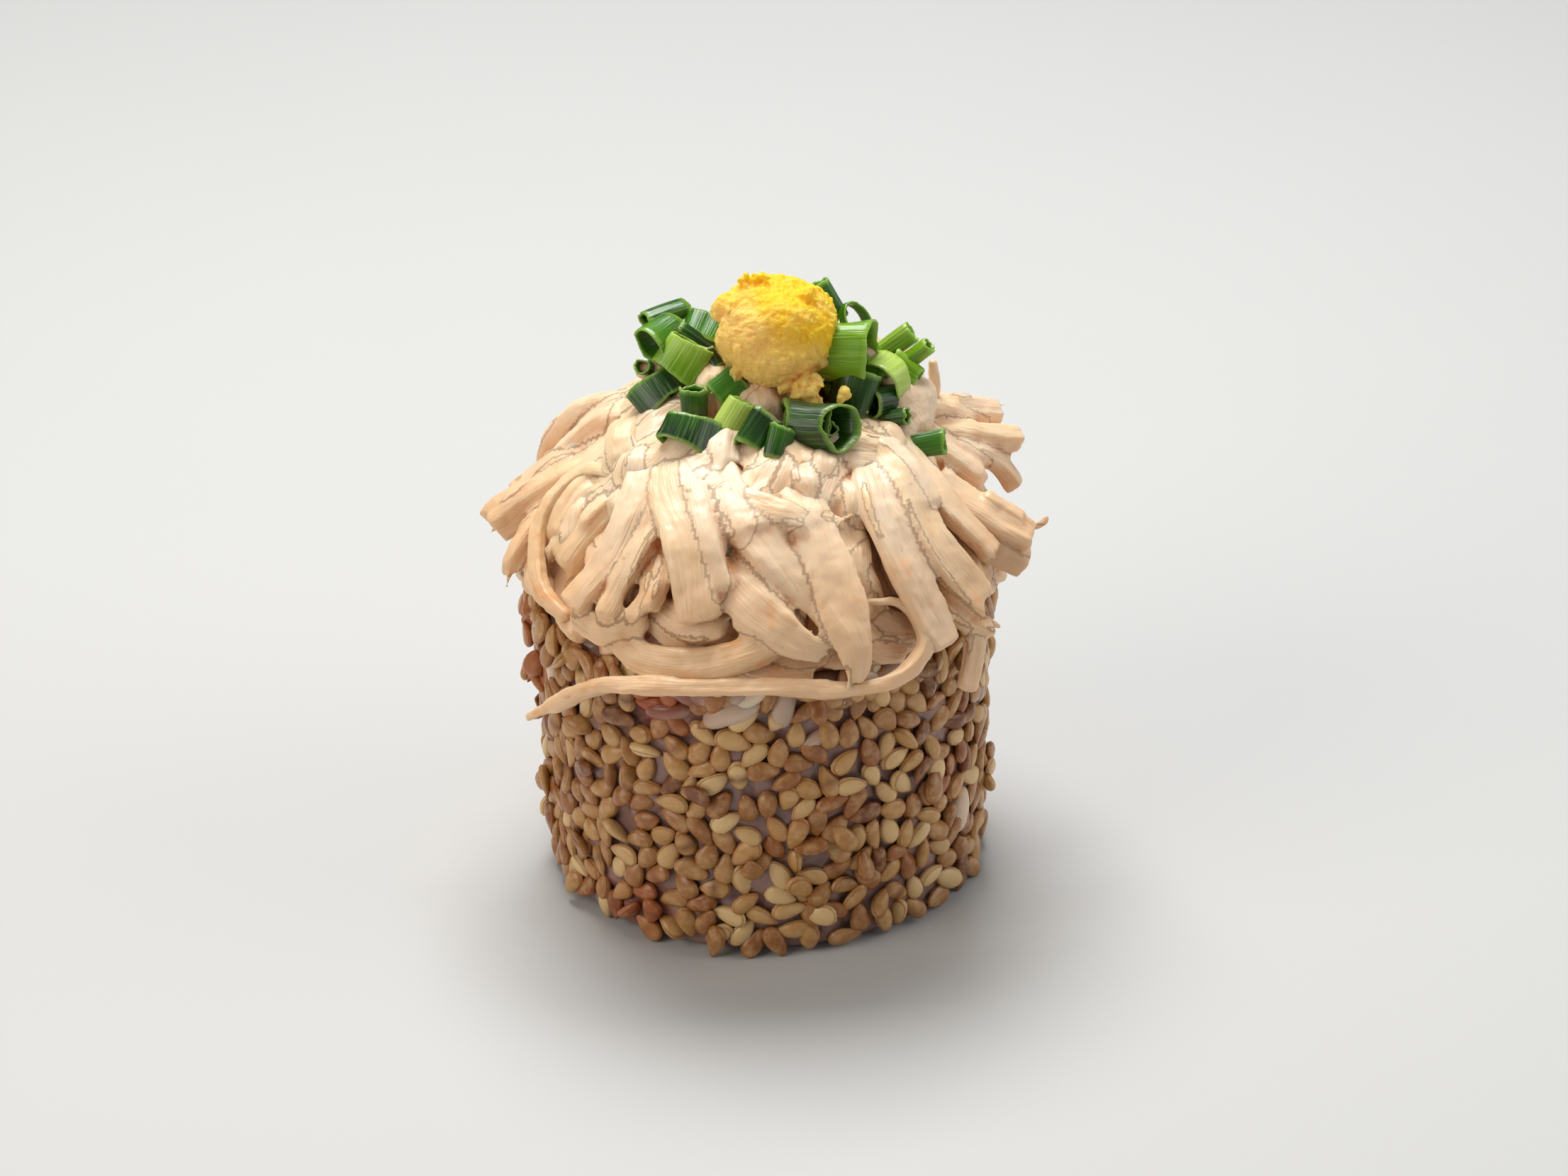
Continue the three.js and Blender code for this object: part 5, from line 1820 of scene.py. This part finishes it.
@dataclass
class Scallion:
    """Cut rings, made as open tubes with a real wall and ribs. lip is how far a cut bulges."""

    wall: float = 0.24
    lip: float = 0.07
    rib_height: float = 0.022
    columns: int = 60
    rows: int = 9
    hidden: int = 26
    ranges: tuple[tuple[float, float], ...] = (  # a hidden ring's numbers, from its heading to its roll
        (0.0, 360.0),
        (-50.0, 50.0),
        (0.9, 1.8),
        (1.8, 3.4),
        (0.45, 0.95),
        (0.05, 0.75),
        (0.3, 1.0),
        (0.0, 180.0),
    )
    finish: ScallionLeaf = ScallionLeaf()

    @staticmethod
    def axes(ring: Ring) -> Array:
        """A ring's own directions.

        The axis is laid in the picture plane at its heading and tipped towards the viewer by its lean.

        Args:
            ring: The ring.

        Returns:
            Its axis, its width and the way its wide face looks, as the rows of a matrix.
        """
        lift = math.radians(PICTURE_ELEVATION)
        right = np.array([1.0, 0.0, 0.0])
        up = np.array([0.0, math.sin(lift), math.cos(lift)])
        viewer = np.array([0.0, -math.cos(lift), math.sin(lift)])
        heading, lean, roll = (math.radians(a) for a in (ring.heading, ring.lean, ring.roll))
        flat_way = right * math.cos(heading) + up * math.sin(heading)
        axis = flat_way * math.cos(lean) + viewer * math.sin(lean)
        face = viewer * math.cos(lean) - flat_way * math.sin(lean)
        width = np.cross(face, axis)
        turned_width = width * math.cos(roll) + face * math.sin(roll)
        return np.stack([axis, turned_width, face * math.cos(roll) - width * math.sin(roll)])

    def ring(self, ring: Ring, key: int) -> Surface:
        """One ring: a closed section of the wall carried round the axis.

        The section goes up the outside, over the cut, down the inside and over the other cut. The
        radius is the ring's own, changed round it by noise, and by a cosine that makes the ribs. A
        flattened ring has sharper sides, where the leaf is folded.

        Args:
            ring: The ring.
            key: A different number gives different noise.

        Returns:
            The closed surface, with its marks.
        """
        turn = np.linspace(0.0, 2 * math.pi, self.columns, endpoint=False)
        half = ring.length / 2
        along = np.linspace(-half, half, self.rows)
        axial = np.concatenate([along, [half + self.lip], along[::-1], [-half - self.lip]])
        depth = np.concatenate([np.zeros(self.rows), [0.5], np.ones(self.rows), [0.5]])
        # the cut rows, painted paler: partly the cut's own colour, partly a painted wet glint
        cut = np.zeros(len(axial))
        cut[[0, self.rows - 1, self.rows, self.rows + 1, 2 * self.rows, 2 * self.rows + 1]] = 1.0
        circle = np.stack([np.cos(turn), np.sin(turn), np.full_like(turn, key * 5.3)], -1)
        shape = 1.0 + 0.2 * lattice_noise(circle * 1.2, 51)
        across, up = circle[None, :, 0], circle[None, :, 1]
        drift = np.stack(np.broadcast_arrays(across * 1.2, up * 1.2, axial[:, None] * 0.4 + key), -1)
        ribs = np.cos(turn * round(ring.radius * 16) + 1.2 * np.sin(3 * turn + key))
        radius = ring.radius * shape[None] * (1.0 + 0.07 * lattice_noise(drift, 52))
        wall = depth[:, None] * self.wall * min(1.0, ring.radius)
        radius = radius + self.rib_height * (0.4 + ring.ribbed) * ribs[None] - wall
        at_cut = (np.abs(axial) > half * 0.75)[:, None]
        ragged = 0.15 * np.sign(axial)[:, None] * fractal_noise(circle * 2.4, 2, 53)[None] * at_cut
        slant = (0.1 * np.sin(turn + key) + ring.slant * np.sin(turn))[None]
        x = axial[:, None] + ragged + slant * np.clip(axial / half, -1, 1)[:, None] * ring.radius
        fold = np.abs(np.sin(turn)) ** (0.45 * (1.0 - ring.flat))
        y, z = radius * np.cos(turn)[None], radius * (np.sin(turn) * fold)[None] * ring.flat
        y = y * (1.0 + 0.04 * math.sin(key) * axial[:, None])
        points = np.stack([x, y, z], -1) @ self.axes(ring) + np.array(ring.at)
        rows = len(axial)
        leaf = np.broadcast_arrays(across * ring.radius, axial[:, None], up * ring.radius + key * 3.0)
        tone = ring.tone + 0.1 * (axial[:, None] / half) * math.sin(key * 2.1) + np.zeros_like(x)
        tone = np.where(depth[:, None] > 0.6, 0.85 * ring.tone + 0.06, tone)
        return Surface(
            points.reshape(-1, 3),
            grid_quads(rows, self.columns, wrap_rows=True),
            marks={
                "leaf": np.stack(leaf, -1).reshape(-1, 3),
                "tone": tone.ravel(),
                "cut": np.repeat(cut, self.columns),
                "ribbed": np.repeat(ring.ribbed * (depth < 0.4), self.columns),
            },
        )

    def hidden_rings(self, random: Random) -> list[Ring]:
        """Rings behind the ones that show from the front, so that the bed is covered all round.

        Args:
            random: The source of random numbers.

        Returns:
            The rings.
        """
        made = []
        for i in range(self.hidden):
            azimuth = 78.0 + 184.0 * i / (self.hidden - 1) + random.uniform(-8, 8)
            out = random.uniform(4.2, 8.8)
            x, y, _ = polar(azimuth, out, 0.0) + np.array([1.6, 0.4, 0.0])
            height = float(heap_height(math.hypot(x, y))) + random.uniform(0.7, 3.2)
            made.append(Ring((float(x), float(y), height), *(random.uniform(*r) for r in self.ranges)))
        return made

    def build(self, random: Random) -> list[bpy.types.Object]:
        """Builds and dresses the ring heap and the stray piece.

        Args:
            random: The source of random numbers.

        Returns:
            The two pieces.
        """
        leaf = self.finish.material()
        rings = RINGS + self.hidden_rings(random)
        heap = build_mesh(join([self.ring(r, i) for i, r in enumerate(rings)]), "scallion_rings")
        stray = build_mesh(self.ring(STRAY, 90), "scallion_stray_piece")
        for piece, node in ((heap, "chopped_scallion"), (stray, "scallion_stray")):
            piece.data.materials.append(leaf)
            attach(piece, "root")
            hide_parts(node)
        return [heap, stray]


# ---- Egg yolk ----


YOLK_FLATS = [  # the way each blunt flat of the ball looks, and its distance as a share of the radius
    (-1.0, 0.1, 0.15, 1.0),
    (-0.55, -0.5, 0.9, 0.95),
    (0.25, -0.1, 1.0, 0.85),
    (0.8, -0.1, 0.75, 0.97),
    (1.0, -0.3, -0.2, 1.03),
    (0.6, -0.8, -0.55, 0.93),
    (-0.75, -0.5, -0.55, 0.95),
    (-0.2, -1.0, 0.2, 0.98),
    (0.5, -0.9, 0.35, 0.99),
    (-0.2, -0.6, -0.9, 0.95),
    (0.3, 0.9, 0.4, 0.98),
    (-0.5, 0.8, 0.5, 0.95),
    (0.2, 0.9, -0.5, 0.95),
]


@dataclass
class YolkBall:
    """The yolk: a ball with blunt flats, lumps and crumbs, all under one crumbly skin."""

    middle: Place = (1.8, 0.0, 48.4)
    radius: float = 5.5
    crumbs: int = 380
    lump_crumbs: int = 160
    # the side where the light falls: it is painted a richer gold
    lit_side_direction: Place = (0.45, 0.1, 0.75)
    voxel: float = 0.1
    lumps: tuple[tuple[float, float, float, float], ...] = (
        (3.9, -4.0, 45.2, 1.3),
        (4.9, -3.7, 45.6, 0.8),
        (0.2, 0.6, 52.8, 0.6),
        (-0.6, 0.5, 52.8, 0.5),
        (0.9, 0.5, 52.9, 0.45),
        (-0.5, 0.5, 53.4, 0.24),
        (0.2, 0.5, 53.5, 0.22),
        (0.9, 0.5, 53.4, 0.24),
        (-1.1, 0.4, 53.1, 0.24),
        (1.4, 0.4, 53.2, 0.22),
        (-1.5, -0.4, 50.9, 1.5),
        (4.2, 0.0, 50.9, 1.6),
        (-2.6, -0.6, 50.6, 0.7),
        (6.2, -0.4, 49.5, 0.8),
        (5.4, -1.8, 46.9, 0.7),
        (-1.5, -2.6, 46.3, 0.6),
        (3.2, -4.5, 44.2, 0.65),
        (4.9, -4.1, 44.3, 0.55),
        (2.4, -4.0, 45.4, 0.6),
    )
    loose: tuple[tuple[float, float, float, float], ...] = (
        (7.2, -3.6, 44.6, 0.42),
        (6.9, -3.9, 44.3, 0.3),
        (8.4, -1.9, 46.6, 0.36),
        (8.1, -1.9, 46.3, 0.24),
        (9.0, -3.2, 42.6, 0.16),
        (-3.6, -3.9, 45.1, 0.15),
    )
    finish: EggYolk = EggYolk()

    def body(self) -> Surface:
        """The ball: its radius towards a direction is a soft least of the distances to flat planes.

        The soft least is the sum of (cosine / distance) to the power 14, to the power -1/14.

        Returns:
            The closed surface.
        """
        ball = ball_directions(64, 128)
        flats = np.array(YOLK_FLATS)
        away = flats[:, 3] * self.radius * 0.875
        cosine = np.clip(ball @ unit(flats[:, :3]).T, 0.0, None)
        blunt = ((cosine / away) ** 14).sum(-1) + (1.0 / self.radius) ** 14
        radius = blunt ** (-1.0 / 14.0) * (1.0 + 0.03 * fractal_noise(ball * 2.4, 3, 61))
        return closed_grids((np.array(self.middle) + ball * radius[..., None])[None])

    def bits(self, middles: Array, radii: Array, seed: int) -> Surface:
        """Crumbs: small balls pushed in and out by noise.

        Args:
            middles: Their middles.
            radii: Their radii.
            seed: A different number gives different noise.

        Returns:
            The closed surfaces.
        """
        ball = ball_directions(9, 12)
        key = middles[:, None, None]
        rough = 1.0 + 0.35 * lattice_noise(ball[None] * 1.8 + key * 3.0, seed)
        return closed_grids(key + ball[None] * (radii[:, None, None] * rough)[..., None])

    def build(self, random: Random) -> bpy.types.Object:
        """Builds and dresses the ball. It stands for the ball's solid.

        Crumbs are scattered over the ball and the edges of its lumps, and all is joined under one skin.
        Ridges of noise roughen it. A crease is where it lies below a smoother copy of itself; creases get a
        painted shade, and the upper right side, where the light falls, a painted richer gold.

        Args:
            random: The source of random numbers.

        Returns:
            The piece.
        """
        body = self.body()
        spots = random.integers(0, len(body.points), self.crumbs)
        radii = 0.08 + 0.24 * random.random(self.crumbs) ** 2.0
        outward = unit(body.points[spots] - self.middle)
        crumbs = self.bits(body.points[spots] - 0.4 * outward * radii[:, None], radii, 62)
        lumps = np.array(self.lumps + self.loose)
        around = random.integers(0, len(lumps), self.lump_crumbs)
        outward = unit(random.normal(size=(self.lump_crumbs, 3)))
        edge = lumps[around, :3] + outward * lumps[around, 3:] * 0.95
        radii = random.uniform(0.25, 0.5, self.lump_crumbs) * np.minimum(lumps[around, 3], 0.6)
        parts = [body, crumbs, self.bits(lumps[:, :3], lumps[:, 3], 63), self.bits(edge, radii, 64)]
        skin = voxel_skin(join(parts), self.voxel)
        skin.points = skin.relaxed(skin.points, 1, 0.5)
        ridges = 0.22 * np.abs(lattice_noise(skin.points / 0.8, 65))
        ridges = ridges + 0.14 * np.abs(lattice_noise(skin.points / 0.4, 68))
        ridges = ridges + 0.2 * lattice_noise(skin.points / 1.9, 66) - 0.14
        skin.points = skin.points + skin.normals() * ridges[:, None]
        # painted shade: the crease mark darkens the crevices
        smooth = skin.relaxed(skin.points, 30, 0.6)
        depth = ((skin.points - smooth) * skin.normals()).sum(1)
        skin.marks["crease"] = 0.35 * ease((-depth - 0.02) / 0.2)
        # painted light: a richer gold on the upper right side, where the light falls
        facing = unit(skin.points - self.middle) @ unit(np.array(self.lit_side_direction))
        skin.marks["rich"] = ease((facing + 0.15 + 0.35 * lattice_noise(skin.points / 2.2, 67)) / 0.7)
        piece = build_mesh(skin, "egg_yolk_crumbly_ball")
        piece.data.materials.append(self.finish.material())
        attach(piece, "root")
        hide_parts("egg_yolk_ball")
        return piece


# ---- Studio ----


@dataclass
class Studio:
    """The floor, the lights and the camera. The photograph is 2212 x 1659 pixels."""

    aim: Place = (1.9, 0.0, 24.9)
    distance: float = 400.0
    elevation: float = PICTURE_ELEVATION
    roll: float = -1.5
    pixels_per_mm: float = 16.8
    image_width: float = 2212.0
    sensor: float = 36.0
    clip: tuple[float, float] = (0.01, 20.0)
    lit: Place = (0.0, 0.0, 28.0)
    air: str = "#E9EDF2"
    air_strength: float = 0.24
    finish: PaleFloor = PaleFloor()
    lamps: tuple[tuple[str, Place, float, float, str], ...] = (
        ("key_above_behind", (-30.0, 150.0, 410.0), 250.0, 2.25, "#FFFFFF"),
        ("fill_left", (-380.0, -230.0, 260.0), 320.0, 1.0, "#FFF6EA"),
        ("fill_right", (380.0, -60.0, 220.0), 300.0, 0.5, "#FFFFFF"),
    )

    def floor(self) -> bpy.types.Object:
        """A plain pale floor that curves up far behind into a backdrop.

        Its outline is a level run, a quarter circle and an upright, carried along X.

        Returns:
            The floor.
        """
        front, back, radius, top, half_width = -1500.0, 900.0, 500.0, 2200.0, 2500.0
        level = np.linspace(front, back, 13)
        bend = np.linspace(0.0, math.pi / 2, 13)[1:]
        depth = np.concatenate([level, back + radius * np.sin(bend), [back + radius]])
        rise = np.concatenate([np.zeros(13), radius * (1 - np.cos(bend)), [top]])
        width = np.linspace(-half_width, half_width, 21)
        points = np.stack(np.broadcast_arrays(width[None, :], depth[:, None], rise[:, None]), -1)
        rows, columns = points.shape[:2]
        row, column = np.meshgrid(np.arange(rows - 1), np.arange(columns - 1), indexing="ij")
        first = row * columns + column
        quads = np.stack([first, first + 1, first + columns + 1, first + columns], -1).reshape(-1, 4)
        made = build_mesh(Surface(points.reshape(-1, 3), quads), "studio_floor")
        made.data.materials.append(self.finish.material())
        return made

    def light(self, name: str, place: Place, size: float, power: float, colour: str) -> bpy.types.Object:
        """A square soft light that faces the object.

        Args:
            name: Its name.
            place: Where it is.
            size: The length of its side.
            power: Its power in watts.
            colour: Its sRGB colour.

        Returns:
            The light.
        """
        lamp = bpy.data.lights.new(name, "AREA")
        lamp.shape = "SQUARE"
        lamp.size = size * MM
        lamp.energy = power
        lamp.color = to_linear(colour)[:3]
        made = bpy.data.objects.new(name, lamp)
        bpy.context.scene.collection.objects.link(made)
        place_m = np.array(place) * MM
        back = unit(place_m - np.array(self.lit) * MM)
        side = unit(np.cross([0.0, 0.0, 1.0], back))
        made.matrix_world = self.pose(side, np.cross(back, side), back, place_m)
        return made

    @staticmethod
    def pose(right: Array, up: Array, back: Array, place: Array) -> Matrix:
        """A matrix from three directions and a place."""
        columns = np.column_stack([right, up, back, place])
        return Matrix([*columns.tolist(), [0, 0, 0, 1]])

    def camera(self) -> bpy.types.Object:
        """The camera: it looks at the aim point from the front, above, and is rolled a little.

        Returns:
            The camera.
        """
        lift, roll = math.radians(self.elevation), math.radians(self.roll)
        forward = np.array([0.0, math.cos(lift), -math.sin(lift)])
        right = np.array([1.0, 0.0, 0.0])
        up = np.cross(right, forward)
        side = right * math.cos(roll) + up * math.sin(roll)
        top = up * math.cos(roll) - right * math.sin(roll)
        lens = bpy.data.cameras.new("photo_camera")
        lens.sensor_width = self.sensor
        lens.lens = self.pixels_per_mm * self.distance / self.image_width * self.sensor
        lens.clip_start, lens.clip_end = self.clip
        made = bpy.data.objects.new("photo_camera", lens)
        bpy.context.scene.collection.objects.link(made)
        place = (np.array(self.aim) - forward * self.distance) * MM
        made.matrix_world = self.pose(side, top, -forward, place)
        bpy.context.scene.camera = made
        return made

    def world(self) -> None:
        """A dim, even, slightly cool surround."""
        world = bpy.data.worlds.new("studio_air")
        world.use_nodes = True
        surround = world.node_tree.nodes["Background"]
        surround.inputs["Color"].default_value = to_linear(self.air)
        surround.inputs["Strength"].default_value = self.air_strength
        bpy.context.scene.world = world
        bpy.context.scene.view_settings.view_transform = "Standard"

    def build(self) -> None:
        """Sets up the studio."""
        self.camera()
        self.floor()
        self.world()
        for lamp in self.lamps:
            self.light(*lamp)


def main() -> None:
    """Builds the object piece by piece, then the studio."""
    logging.basicConfig(level=logging.INFO, format="%(message)s")
    random = np.random.default_rng(20)
    pieces = [
        RiceRoll().build(random),
        SesameCoat().build(random),
        *ChickenHeap().build(random),
        *Scallion().build(random),
        YolkBall().build(random),
    ]
    for piece in pieces:
        LOG.info("%s: %d faces", piece.name, len(piece.data.polygons))
    Studio().build()


if __name__ == "__main__":
    main()
